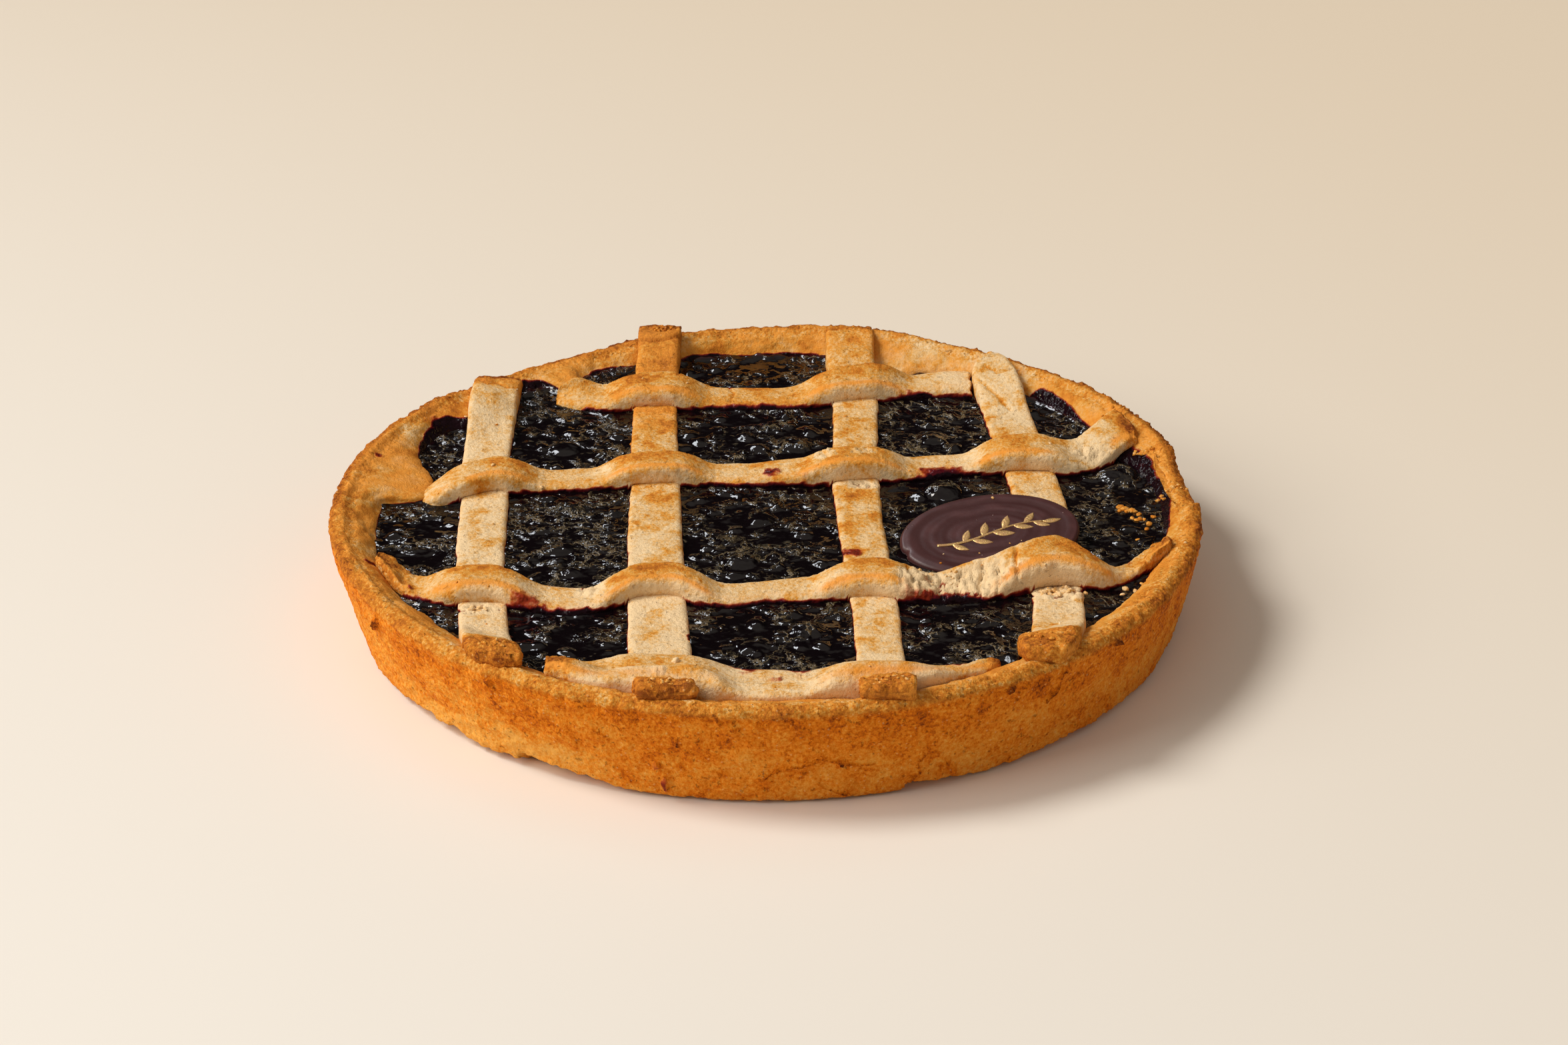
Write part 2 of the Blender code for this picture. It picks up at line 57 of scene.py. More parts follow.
Array = np.ndarray
Colour = tuple[float, float, float]
Support = Callable[[Array, Array], Array]
Ramp = tuple[tuple[float, Colour], ...]
Pairs = tuple[tuple[float, float], ...]
Piece = bpy.types.Object
Node = bpy.types.Node
Result = bpy.types.NodeSocket


# Smooth random fields, and the shapes that features have on a surface


class Grain:
    """Smooth random fields in space that are the same at every run."""

    def __init__(self, seed: int) -> None:
        """Draws the field's tables.

        Args:
            seed: Number that the tables follow from.
        """
        draw = np.random.default_rng(seed)
        self.order = draw.permutation(256)
        slopes = draw.normal(size=(256, 3))
        self.slopes = slopes / np.linalg.norm(slopes, axis=1, keepdims=True)
        self.spots = draw.random((256, 3))

    def index(self, cell: Array) -> Array:
        """Gives each cell of space, three whole numbers, its own place in the tables."""
        index = self.order[(self.order[cell[..., 0] & 255] + cell[..., 1]) & 255]
        return self.order[(index + cell[..., 2]) & 255]

    def smooth(self, points: Array, scale: float) -> Array:
        """A rolling field of about -1 to 1.

        Args:
            points: Where it is wanted, the last axis X, Y and Z.
            scale: Size of its swells.

        Returns:
            The field at the points.
        """
        place = points / scale
        cell = np.floor(place).astype(int)
        inside = place - cell
        ease = inside**3 * (inside * (inside * 6 - 15) + 10)
        total = np.zeros(points.shape[:-1])
        for corner in itertools.product((0, 1), repeat=3):
            share = np.prod(np.where(corner, ease, 1 - ease), axis=-1)
            slope = self.slopes[self.index(cell + corner)]
            total += share * ((inside - corner) * slope).sum(axis=-1)
        return total * 1.6

    def layered(self, points: Array, scale: float, layers: int, ridges: bool = False) -> Array:
        """A field with swells on its swells.

        Args:
            points: Where it is wanted.
            scale: Size of the largest swells in millimetres.
            layers: How many sizes there are, each half the last.
            ridges: Whether thin ridges between hollows take the place of the swells.

        Returns:
            The field at the points, about -1 to 1, or with ridges from 0 to 1.
        """
        total, strength, whole = np.zeros(points.shape[:-1]), 1.0, 0.0
        shift, gain = (0.53, 0.6) if ridges else (0.37, 0.5)
        for layer in range(layers):
            swell = self.smooth(points + layer * shift, scale * MM / 2**layer)
            total += strength * (np.clip(1 - 2.2 * np.abs(swell), 0, 1) ** 2 if ridges else swell)
            whole += strength
            strength *= gain
        return total / whole

    def creased(self, points: Array, scale: float, layers: int) -> Array:
        """A field of thin ridges, 1 on the ridges and 0 in the broad hollows between them."""
        return self.layered(points, scale, layers, ridges=True)

    def cells(self, points: Array, scale: float) -> tuple[Array, Array, Array]:
        """The field's crumbs: scattered centres, each with the space nearest to it.

        Args:
            points: Where they are wanted.
            scale: Size of a crumb in millimetres.

        Returns:
            Distance to the nearest centre, distance on to the next, and a random value per crumb.
        """
        place = points / (scale * MM)
        cell = np.floor(place).astype(int)
        nearest = np.full(points.shape[:-1], 9.0)
        second, owner = nearest.copy(), np.zeros(points.shape[:-1])
        for offset in itertools.product((-1, 0, 1), repeat=3):
            index = self.index(cell + offset)
            away = np.linalg.norm(place - (cell + offset + self.spots[index]), axis=-1)
            closer = away < nearest
            second = np.where(closer, nearest, np.minimum(second, away))
            owner = np.where(closer, index / 256, owner)
            nearest = np.where(closer, away, nearest)
        return nearest, second - nearest, owner


BROAD = Grain(11)
MIDDLE = Grain(23)
FINE = Grain(37)


def each(kind: Callable[..., Any], *rows: Sequence[Any]) -> tuple[Any, ...]:
    """One thing of a kind from each row of its values."""
    return tuple(kind(*row) for row in rows)


def side_by_side(*parts: Array) -> Array:
    """Coordinates joined in a last axis, such as X, Y and Z."""
    return np.stack(np.broadcast_arrays(*parts), axis=-1)


def bell(value: Array, middle: float, width: float, power: int = 2) -> Array:
    """1 at the middle, falling away smoothly to each side."""
    return np.exp(-(((value - middle) / width) ** power))


def eased(value: Array, low: float, high: float) -> Array:
    """Goes smoothly from 0 at low to 1 at high."""
    share = np.clip((value - low) / (high - low), 0, 1)
    return share * share * (3 - 2 * share)


def relaxed(values: Array, reach: int) -> Array:
    """Smooths a run of samples, its ends kept; reach is how many to each side take part."""
    window = np.hanning(2 * reach + 3)[1:-1]
    return np.convolve(np.pad(values, reach, mode="reflect", reflect_type="odd"), window / window.sum(), mode="valid")


@dataclass(frozen=True)
class Spot:
    """A soft-edged patch on a surface, in millimetres of that surface's own two directions."""

    x: float
    y: float
    reach: float
    spread: float
    amount: float = 1.0

    def mask(self, x: Array, y: Array) -> Array:
        """How strongly the patch shows at points of the surface, in metres."""
        away = ((x / MM - self.x) / self.reach) ** 2 + ((y / MM - self.y) / self.spread) ** 2
        return self.amount * np.exp(-(away**1.5))


@dataclass(frozen=True)
class Crack:
    """A crack along a broken line, in millimetres of a surface's own two directions."""

    line: Pairs
    width: float
    depth: float

    def mask(self, x: Array, y: Array) -> Array:
        """How deep the crack is at points of the surface, as a share of its full depth.

        Args:
            x: First surface direction of each point, in metres.
            y: Second surface direction of each point, in metres.

        Returns:
            The depth at each point, 1 in the middle of the crack.
        """
        x, y = x / MM, y / MM
        nearest = np.full(x.shape, 99.0)
        for (x0, y0), (x1, y1) in zip(self.line, self.line[1:]):
            length = (x1 - x0) ** 2 + (y1 - y0) ** 2
            share = np.clip(((x - x0) * (x1 - x0) + (y - y0) * (y1 - y0)) / length, 0, 1)
            away = np.hypot(x - x0 - share * (x1 - x0), y - y0 - share * (y1 - y0))
            nearest = np.minimum(nearest, away)
        return np.exp(-((nearest / self.width) ** 2))


def patches(spots: Iterable[Spot], x: Array, y: Array, ragged: float = 0.6) -> Array:
    """The patches of a surface taken together, with uneven edges.

    Args:
        spots: The patches.
        x: First surface direction of each point, in metres.
        y: Second surface direction of each point, in metres.
        ragged: How far the edges wander, in millimetres.

    Returns:
        The strength at each point.
    """
    flat = side_by_side(x, y, 0)
    wander = ragged * MM * 2
    x = x + wander * MIDDLE.layered(flat, 2.6, 2)
    y = y + wander * FINE.layered(flat, 2.6, 2)
    return sum((spot.mask(x, y) for spot in spots), np.zeros_like(x))


def surface_normals(points: Array, wraps: tuple[bool, bool]) -> Array:
    """Unit normals of a grid of points.

    Args:
        points: Rows and columns of points.
        wraps: Whether the rows and the columns close on themselves.

    Returns:
        The normals, one for each point.
    """
    slopes = []
    for axis, closed in enumerate(wraps):
        ahead, behind = np.roll(points, -1, axis), np.roll(points, 1, axis)
        if not closed:
            edge = [slice(None)] * 3
            edge[axis] = -1
            ahead[tuple(edge)] = points[tuple(edge)]
            edge[axis] = 0
            behind[tuple(edge)] = points[tuple(edge)]
        slopes.append(ahead - behind)
    normals = np.cross(slopes[0], slopes[1])
    return normals / np.maximum(np.linalg.norm(normals, axis=-1, keepdims=True), 1e-12)


# Meshes


@dataclass
class Shell:
    """A mesh in the making: corners, faces and the values that its corners carry."""

    name: str
    corners: list[Array] = field(default_factory=list)
    faces: list[Array] = field(default_factory=list)
    values: dict[str, list[Array]] = field(default_factory=dict)
    count: int = 0

    def add(self, points: Array, faces: Sequence[Array], **values: Array) -> int:
        """Adds corners and the faces between them.

        Args:
            points: The corners, one row each.
            faces: Blocks of faces, as places among these corners.
            **values: What each corner carries, by name.

        Returns:
            Where the first corner stands in the whole mesh.
        """
        start = self.count
        self.corners.append(points.reshape(-1, 3))
        self.faces.extend(block + start for block in faces)
        for name, value in values.items():
            self.values.setdefault(name, []).append(np.broadcast_to(value, points.shape[:-1]).ravel())
        self.count += self.corners[-1].shape[0]
        return start

    def finish(self) -> Piece:
        """Makes the smooth-shaded object and links it to the scene.

        Returns:
            The object.
        """
        mesh = bpy.data.meshes.new(self.name)
        points = np.concatenate(self.corners)
        mesh.vertices.add(len(points))
        mesh.vertices.foreach_set("co", points.astype(np.float32).ravel())
        sizes = np.concatenate([np.full(len(block), block.shape[1]) for block in self.faces])
        mesh.loops.add(int(sizes.sum()))
        mesh.loops.foreach_set("vertex_index", np.concatenate([block.ravel() for block in self.faces]))
        mesh.polygons.add(len(sizes))
        mesh.polygons.foreach_set("loop_start", np.concatenate([[0], np.cumsum(sizes)[:-1]]))
        mesh.update(calc_edges=True)
        mesh.shade_smooth()
        for name, blocks in self.values.items():
            layer = mesh.attributes.new(name, "FLOAT", "POINT")
            layer.data.foreach_set("value", np.concatenate(blocks).astype(np.float32))
        return new_object(self.name, mesh)


def new_object(name: str, data: Any) -> Piece:
    """Puts a new object in the scene.

    Args:
        name: Its name.
        data: Its mesh, light or camera.

    Returns:
        The object.
    """
    thing = bpy.data.objects.new(name, data)
    bpy.context.scene.collection.objects.link(thing)
    return thing


def grid_faces(rows: int, columns: int, wraps: tuple[bool, bool]) -> Array:
    """Faces of a grid of corners.

    Args:
        rows: How many rows of corners there are.
        columns: How many corners a row has.
        wraps: Whether the rows and the columns close on themselves.

    Returns:
        The four corners of each face.
    """
    row = np.arange(rows if wraps[0] else rows - 1)[:, None]
    column = np.arange(columns if wraps[1] else columns - 1)[None, :]
    below, right = (row + 1) % rows, (column + 1) % columns
    corners = (row * columns + column, below * columns + column, below * columns + right, row * columns + right)
    return side_by_side(*corners).reshape(-1, 4)


def fan_faces(ring: Array, hub: int) -> Array:
    """Triangles from a closed ring of corners to one corner in its middle."""
    return side_by_side(ring, np.roll(ring, -1), hub)


def outline(rows: int, columns: int) -> Array:
    """The corners along the edge of a grid, as one closed ring."""
    grid = np.arange(rows * columns).reshape(rows, columns)
    return np.concatenate([grid[0, :-1], grid[:-1, -1], grid[-1, :0:-1], grid[:0:-1, 0]])


def closed_tube(name: str, points: Array, hubs: Array, turned: bool, **values: Array) -> Piece:
    """A tube of rings, closed at each end by a fan of triangles.

    Args:
        name: The object's name.
        points: The rings of corners, one after another.
        hubs: The middle of the first and of the last ring.
        turned: Whether the faces are turned round, because the rings run the other way.
        **values: What each corner carries, by name; a hub carries its ring's mean.

    Returns:
        The object.
    """
    rows, columns = points.shape[:2]
    ring, start = np.arange(columns), rows * columns
    first, last = fan_faces(ring, start), fan_faces(ring + (rows - 1) * columns, start + 1)
    blocks = [grid_faces(rows, columns, (False, True)), first, last[:, ::-1]]
    if turned:
        blocks = [block[:, ::-1] for block in blocks]
    for label, value in values.items():
        values[label] = np.concatenate([value.ravel(), [value[0].mean(), value[-1].mean()]])
    shell = Shell(name)
    shell.add(np.concatenate([points.reshape(-1, 3), hubs]), blocks, **values)
    return shell.finish()


# Nodes of the materials


class Wiring:
    """Adds nodes to a node tree and joins their sockets."""

    def __init__(self, tree: bpy.types.NodeTree) -> None:
        """Takes the tree to work in, a material's or a group's."""
        self.tree = tree

    def add(self, kind: str, inputs: dict[Any, Any] | None = None, **settings: Any) -> Node:
        """Adds a node.

        Args:
            kind: The node's type.
            inputs: Sockets to join or values to set, by the input's name or place.
            **settings: The node's own settings.

        Returns:
            The node.
        """
        node = self.tree.nodes.new(kind)
        for name, value in settings.items():
            setattr(node, name, value)
        for name, value in (inputs or {}).items():
            if isinstance(value, Result):
                self.tree.links.new(value, node.inputs[name])
            else:
                node.inputs[name].default_value = value
        return node

    def maths(self, operation: str, first: Any, second: Any = 0.0, clamp: bool = False) -> Result:
        """The result of a sum on one or two values."""
        return self.add("ShaderNodeMath", {0: first, 1: second}, operation=operation, use_clamp=clamp).outputs[0]

    def plus(self, first: Any, second: Any) -> Result:
        """The sum of two values."""
        return self.maths("ADD", first, second)

    def minus(self, first: Any, second: Any) -> Result:
        """The difference of two values."""
        return self.maths("SUBTRACT", first, second)

    def times(self, first: Any, second: Any) -> Result:
        """The product of two values."""
        return self.maths("MULTIPLY", first, second)

    def join(self, value: Any, node: Node, name: str) -> None:
        """Joins a result to a node's input."""
        self.tree.links.new(value, node.inputs[name])

    def join_all(self, node: Node, **results: Result) -> None:
        """Joins results to a node's inputs of the same names."""
        for name, result in results.items():
            self.join(result, node, name)

    def mix(self, share: Any, first: Any, second: Any) -> Result:
        """A colour between two others."""
        first, second = ((*colour, 1) if isinstance(colour, tuple) else colour for colour in (first, second))
        return self.add("ShaderNodeMix", {0: share, 6: first, 7: second}, data_type="RGBA").outputs[2]

    def blend(self, share: Any, first: Any, second: Any) -> Result:
        """A value between two others."""
        return self.add("ShaderNodeMix", {0: share, 2: first, 3: second}, data_type="FLOAT").outputs[0]

    def bump(self, height: Any, distance: float) -> Result:
        """Normals of a relief."""
        return self.add("ShaderNodeBump", {"Height": height, "Distance": distance}).outputs[0]

    def channel(self, node: Node, number: int) -> Result:
        """One channel of the random colour of a scatter's cells."""
        return self.add("ShaderNodeSeparateColor", {0: node.outputs["Color"]}).outputs[number]

    def between(self, value: Any, low: float, high: float, start: float = 0, end: float = 1) -> Result:
        """A value carried smoothly from one range to another."""
        inputs = {"Value": value, "From Min": low, "From Max": high, "To Min": start, "To Max": end}
        return self.add("ShaderNodeMapRange", inputs, interpolation_type="SMOOTHSTEP").outputs[0]

    def noise(self, place: Any, scale: float, detail: float, roughness: float = 0.55) -> Result:
        """A cloudy value round 0.5."""
        inputs = {"Vector": place, "Scale": scale, "Detail": detail, "Roughness": roughness}
        return self.add("ShaderNodeTexNoise", inputs).outputs[0]

    def crumbs(self, place: Any, scale: float, feature: str = "F1") -> Node:
        """Scattered cells, as a texture node."""
        return self.add("ShaderNodeTexVoronoi", {"Vector": place, "Scale": scale}, feature=feature)

    def value(self, name: str) -> Result:
        """What the mesh's corners carry under a name."""
        return self.add("ShaderNodeAttribute", attribute_name=name).outputs["Fac"]

    def place(self) -> Result:
        """The point's place on the tart."""
        return self.add("ShaderNodeTexCoord").outputs["Object"]

    def ramp(self, share: Any, stops: Sequence[tuple[float, Colour]]) -> Result:
        """A colour from a run of colours.

        Args:
            share: Where in the run the colour is taken.
            stops: Places in the run, each with its colour.

        Returns:
            The colour.
        """
        node = self.add("ShaderNodeValToRGB", {"Fac": share})
        elements = node.color_ramp.elements
        while len(elements) < len(stops):
            elements.new(0.5)
        for element, (position, colour) in zip(elements, stops):
            element.position = position
            element.color = (*colour, 1)
        return node.outputs[0]


class Socket(Enum):
    """What a group's input or output carries."""

    VALUE = "NodeSocketFloat"
    COLOUR = "NodeSocketColor"
    PLACE = "NodeSocketVector"


def new_group(name: str, takes: dict[str, Socket], gives: dict[str, Socket]) -> tuple[Wiring, Any, Any]:
    """An empty node group.

    Args:
        name: The group's name.
        takes: Its inputs.
        gives: Its outputs.

    Returns:
        The wiring of its tree, its input node and its output node.
    """
    tree = bpy.data.node_groups.new(name, "ShaderNodeTree")
    for way, sockets in (("INPUT", takes), ("OUTPUT", gives)):
        for socket, kind in sockets.items():
            tree.interface.new_socket(name=socket, in_out=way, socket_type=kind.value)
    net = Wiring(tree)
    return net, net.add("NodeGroupInput"), net.add("NodeGroupOutput")


# Groups that several finishes use


class Groups:
    """The node groups of the tart, each built when it is first asked for."""

    @cached_property
    def crust(self) -> bpy.types.NodeTree:
        """Baked dough: how brown it is, its pale specks, its pits, its relief and its roughness.

        Returns:
            The group's tree.
        """
        net, take, give = new_group(
            "baked_crust",
            {"Place": Socket.PLACE, "Browning": Socket.VALUE, "Blotches": Socket.VALUE, "Coarse": Socket.VALUE},
            {name: Socket.VALUE for name in ("Bake", "Speck", "Pitted", "Relief", "Roughness")},
        )
        place, browning = take.outputs["Place"], take.outputs["Browning"]
        wide = net.minus(net.noise(place, 75, 3), 0.5)
        middle = net.times(net.minus(net.noise(place, 260, 4, 0.68), 0.5), 1.4)
        patch = net.between(net.noise(place, 150, 4, 0.62), 0.50, 0.66, -0.12, 0.34)
        small = net.minus(net.noise(place, 1000, 3, 0.7), 0.5)
        cloudy = net.plus(net.plus(wide, middle), patch)
        blotches = net.times(cloudy, take.outputs["Blotches"])
        grains = net.times(small, net.plus(0.50, take.outputs["Coarse"]))
        bake = net.maths("ADD", net.plus(browning, blotches), grains, clamp=True)
        cells = net.crumbs(place, 850)
        lone = net.between(net.channel(cells, 0), 0.8, 0.86)
        near = net.between(cells.outputs["Distance"], 0.16, 0.34, 1, 0)
        speck = net.times(net.times(lone, near), take.outputs["Coarse"])
        holes = net.between(net.noise(place, 640, 4, 0.65), 0.62, 0.70)
        pitted = net.times(holes, take.outputs["Coarse"])
        fine = net.noise(place, 2300, 4, 0.7)
        heaps = {0: cells.outputs["Distance"], 1: -0.6, 2: 0.6}
        lumps = net.add("ShaderNodeMath", heaps, operation="MULTIPLY_ADD").outputs[0]
        lumpy = net.times(lumps, take.outputs["Coarse"])
        relief = net.plus(net.times(fine, 0.45), lumpy)
        relief = net.minus(relief, net.times(pitted, 0.8))
        relief = net.plus(relief, net.times(net.noise(place, 900, 3), 0.7))
        relief = net.plus(relief, net.times(net.noise(place, 330, 3), 0.6))
        rough = net.between(fine, 0.3, 0.7, 0.58, 0.82)
        net.join_all(give, Bake=bake, Speck=speck, Pitted=pitted, Relief=relief, Roughness=rough)
        return net.tree

    @cached_property
    def soaked(self) -> bpy.types.NodeTree:
        """Jam that has run or soaked into dough: the stained colour and where it is wet.

        Returns:
            The group's tree.
        """
        net, take, give = new_group(
            "jam_soaked",
            {"Place": Socket.PLACE, "Stain": Socket.VALUE, "Colour": Socket.COLOUR},
            {"Colour": Socket.COLOUR, "Wet": Socket.VALUE},
        )
        uneven = net.minus(net.noise(take.outputs["Place"], 520, 4, 0.65), 0.5)
        stain = net.plus(take.outputs["Stain"], net.times(uneven, 0.5))
        shows = net.times(net.between(stain, 0.15, 0.55), net.between(take.outputs["Stain"], 0, 0.2))
        colour = net.mix(shows, take.outputs["Colour"], net.ramp(stain, SOAK_COLOURS))
        net.join_all(give, Colour=colour, Wet=shows)
        return net.tree


DOUGH_COLOURS: Ramp = (
    (0.00, (0.82, 0.61, 0.36)),
    (0.20, (0.755, 0.475, 0.202)),
    (0.38, (0.69, 0.33, 0.062)),
    (0.50, (0.65, 0.250, 0.030)),
    (0.60, (0.57, 0.190, 0.018)),
    (0.78, (0.43, 0.130, 0.014)),
    (1.00, (0.20, 0.045, 0.006)),
)
WALL_COLOURS: Ramp = (
    (0.00, (0.88, 0.43, 0.085)),
    (0.20, (0.83, 0.34, 0.045)),
    (0.40, (0.78, 0.245, 0.016)),
    (0.58, (0.67, 0.160, 0.003)),
    (0.76, (0.42, 0.090, 0.004)),
    (0.90, (0.22, 0.044, 0.004)),
    (1.00, (0.10, 0.020, 0.003)),
)
SOAK_COLOURS: Ramp = (
    (0.20, (0.60, 0.21, 0.05)),
    (0.45, (0.33, 0.04, 0.010)),
    (0.75, (0.08, 0.004, 0.008)),
    (1.00, (0.008, 0.002, 0.004)),
)
# Where the crust has caught the heat along an edge, and painted highlight on the front of the rim top
GOLD: Colour = (0.80, 0.31, 0.045)
GROUPS = Groups()


@dataclass(frozen=True)
class Finish:
    """What all the finishes share: a named material with one shader."""

    name: str

    @property
    def material(self) -> bpy.types.Material:
        """The material; each finish makes its own."""
        raise NotImplementedError(self.name)

    def open(self) -> tuple[bpy.types.Material, Wiring, Node]:
        """Starts a material.

        Returns:
            The material, its wiring and its shader.
        """
        material = bpy.data.materials.new(self.name)
        material.use_nodes = True
        net = Wiring(material.node_tree)
        return material, net, net.tree.nodes["Principled BSDF"]

    @staticmethod
    def feed(net: Wiring, shader: Node, *results: Result) -> None:
        """Joins a finish's colour, roughness and normals to its shader."""
        for name, result in zip(("Base Color", "Roughness", "Normal"), results):
            net.join(result, shader, name)


@dataclass(frozen=True)
class CrustFinish(Finish):
    """Baked shortcrust: mottled, matte and crumbly, stained where the jam has reached it."""

    blotches: float
    coarse: float
    bump: float
    # Colours of what the mesh marks as wall, where it marks any
    wall: Ramp = ()
    wet_roughness: float = 0.14

    @cached_property
    def material(self) -> bpy.types.Material:
        """Builds the material; its mesh carries browning, gold, crumbly, stain, and wall if that has colours.

        Returns:
            The material.
        """
        material, net, shader = self.open()
        place = net.place()
        coarse = net.times(net.value("crumbly"), self.coarse)
        takes = {"Place": place, "Browning": net.value("browning"), "Blotches": self.blotches, "Coarse": coarse}
        crust = net.add("ShaderNodeGroup", takes, node_tree=GROUPS.crust)
        colour = net.ramp(crust.outputs["Bake"], DOUGH_COLOURS)
        colour = net.mix(net.value("gold"), colour, GOLD)
        if self.wall:
            colour = net.mix(net.value("wall"), colour, net.ramp(crust.outputs["Bake"], self.wall))
        colour = net.mix(net.times(crust.outputs["Speck"], 0.4), colour, (0.90, 0.56, 0.22))
        # Painted shade: darker in the pits, which the relief also dents
        colour = net.mix(net.times(crust.outputs["Pitted"], 0.45), colour, (0.24, 0.055, 0.008))
        takes = {"Place": place, "Stain": net.value("stain"), "Colour": colour}
        soaked = net.add("ShaderNodeGroup", takes, node_tree=GROUPS.soaked)
        wet = soaked.outputs["Wet"]
        rough = net.blend(wet, crust.outputs["Roughness"], self.wet_roughness)
        lumps = net.times(net.noise(place, 330, 2), 3.0)
        bump = net.bump(net.blend(wet, crust.outputs["Relief"], lumps), self.bump)
        self.feed(net, shader, soaked.outputs["Colour"], rough, bump)
        shader.inputs["Subsurface Weight"].default_value = 0.0
        shader.inputs["Specular IOR Level"].default_value = 0.07
        return material


@dataclass(frozen=True)
class JamFinish(Finish):
    """Thick berry jam: black and wet, red where it is thin, with dull wrinkled film here and there whose khaki
    threads are partly dried film and partly painted reflection.
    """

    depth: Colour
    thin: Colour
    # Khaki of the threads: partly dried film, partly painted reflection of warm surroundings
    skin: Colour

    @cached_property
    def material(self) -> bpy.types.Material:
        """Builds the material; its mesh carries thin and skin.

        Returns:
            The material.
        """
        material, net, shader = self.open()
        place = net.place()
        uneven = net.between(net.noise(place, 300, 3), 0.3, 0.6, 0.5, 1)
        thin = net.times(net.value("thin"), uneven)
        colour = net.mix(thin, self.depth, self.thin)
        lie = {"Vector": place, "Scale": (1, 0.85, 1), "Rotation": (0, 0, 0.35)}
        stretched = net.add("ShaderNodeMapping", lie)
        threads = net.noise(stretched.outputs[0], 225, 3, 0.55)
        # Khaki threads: partly dried film, partly painted reflection of warm surroundings; they are also rougher and
        # raised
        film_and_painted_reflection_thread = net.between(net.maths("ABSOLUTE", net.minus(threads, 0.5)), 0.0, 0.042, 1, 0)
        skin = net.times(net.between(net.value("skin"), 0.2, 0.7), film_and_painted_reflection_thread)
        colour = net.mix(net.times(skin, 0.8), colour, self.skin)
        rough = net.between(skin, 0.0, 1.0, 0.05, 0.34)
        bits = net.crumbs(stretched.outputs[0], 270, "SMOOTH_F1").outputs["Distance"]
        relief = net.minus(net.noise(stretched.outputs[0], 215, 2, 0.38), net.times(bits, 0.45))
        relief = net.times(relief, net.between(net.value("skin"), 0.0, 0.7, 0.45, 1))
        relief = net.plus(relief, net.times(skin, 0.12))
        self.feed(net, shader, colour, rough, net.bump(relief, 2.1 * MM))
        shader.inputs["IOR"].default_value = 1.42
        return material


@dataclass(frozen=True)
class ChocolateFinish(Finish):
    """Tempered dark chocolate with soft rings of slight relief and painted reflection, dust and fine scratches."""

    dark: Colour
    # Colour of the painted reflection along the rings
    light: Colour

    @cached_property
    def material(self) -> bpy.types.Material:
        """Builds the material; its mesh carries ring, from 0 in the middle to 1 at the edge.

        Returns:
            The material.
        """
        material, net, shader = self.open()
        place = net.place()
        bent = net.times(net.minus(net.noise(place, 60, 2), 0.5), 0.5)
        turn = net.times(net.plus(net.value("ring"), bent), 21.0)
        wave = net.times(net.plus(net.maths("SINE", turn), 1.0), 0.5)
        cloud = net.noise(place, 130, 3)
        # Painted reflection: the colour is lighter along the rings; roughness and relief follow the same rings
        painted_sheen = net.times(wave, net.between(cloud, 0.35, 0.65, 0.15, 0.8))
        colour = net.mix(painted_sheen, self.dark, self.light)
        dots = net.crumbs(place, 620)
        lone = net.between(net.channel(dots, 1), 0.93, 0.95)
        dust = net.times(lone, net.between(dots.outputs["Distance"], 0.10, 0.22, 1, 0))
        colour = net.mix(net.times(dust, 0.35), colour, (0.35, 0.22, 0.20))
        rough = net.between(wave, 0, 1, 0.30, 0.40)
        relief = net.plus(net.times(wave, 0.10), net.times(dust, 0.5))
        relief = net.plus(relief, net.times(net.noise(place, 700, 3), 0.10))
        self.feed(net, shader, colour, rough, net.bump(relief, 0.3 * MM))
        shader.inputs["Specular IOR Level"].default_value = 0.35
        return material


@dataclass(frozen=True)
class GiltFinish(Finish):
    """Edible gold, brushed on thin."""

    gold: Colour
    worn: Colour

    @cached_property
    def material(self) -> bpy.types.Material:
        """Builds the material.

        Returns:
            The material.
        """
        material, net, shader = self.open()
        place = net.place()
        wear = net.between(net.noise(place, 900, 4, 0.7), 0.40, 0.62)
        colour = net.mix(wear, self.worn, self.gold)
        rough = net.between(wear, 0, 1, 0.5, 0.32)
        net.join(net.between(wear, 0, 1, 0.5, 0.9), shader, "Metallic")
        self.feed(net, shader, colour, rough, net.bump(net.noise(place, 1800, 3), 0.1 * MM))
        return material


@dataclass(frozen=True)
class FloorFinish(Finish):
    """A smooth cream tabletop."""

    # Colours near the window side and away from it; the change between them is painted falloff of light
    near: Colour
    far: Colour

    @cached_property
    def material(self) -> bpy.types.Material:
        """Builds the material, with painted falloff of light: a little darker away from the window side.

        Returns:
            The material.
        """
        material, net, shader = self.open()
        place = net.add("ShaderNodeSeparateXYZ", {0: net.place()})
        # Painted falloff of light: darker towards the right and the back
        far = net.plus(net.times(place.outputs[0], 0.8), place.outputs[1])
        share = net.between(far, -0.45, 0.75)
        self.feed(net, shader, net.mix(share, self.near, self.far))
        shader.inputs["Roughness"].default_value = 0.6
        shader.inputs["Specular IOR Level"].default_value = 0.2
        return material


def dress(piece: Piece, finish: Finish, nodes: Sequence[str] = ()) -> Piece:
    """Gives a piece its material, its body and the nodes that it stands for.

    Args:
        piece: The piece.
        finish: Its finish.
        nodes: The CAD nodes that it replaces.

    Returns:
        The piece.
    """
    piece.data.materials.append(finish.material)
    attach(piece, "root")
    if nodes:
        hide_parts(*nodes)
    triangles = sum(len(face.vertices) - 2 for face in piece.data.polygons)
    LOG.info("%s: %d triangles", piece.name, triangles)
    return piece


# The case


@dataclass(frozen=True)
class Swell:
    """A stretch of the rim that is out of round or out of level, in degrees and millimetres."""

    azimuth: float
    half_width: float
    outward: float
    upward: float
    inner: float

    def share(self, azimuth: Array) -> Array:
        """How strongly it acts at an azimuth, 1 in its middle."""
        away = (azimuth - self.azimuth + 180) % 360 - 180
        return bell(away, 0, self.half_width, 4)


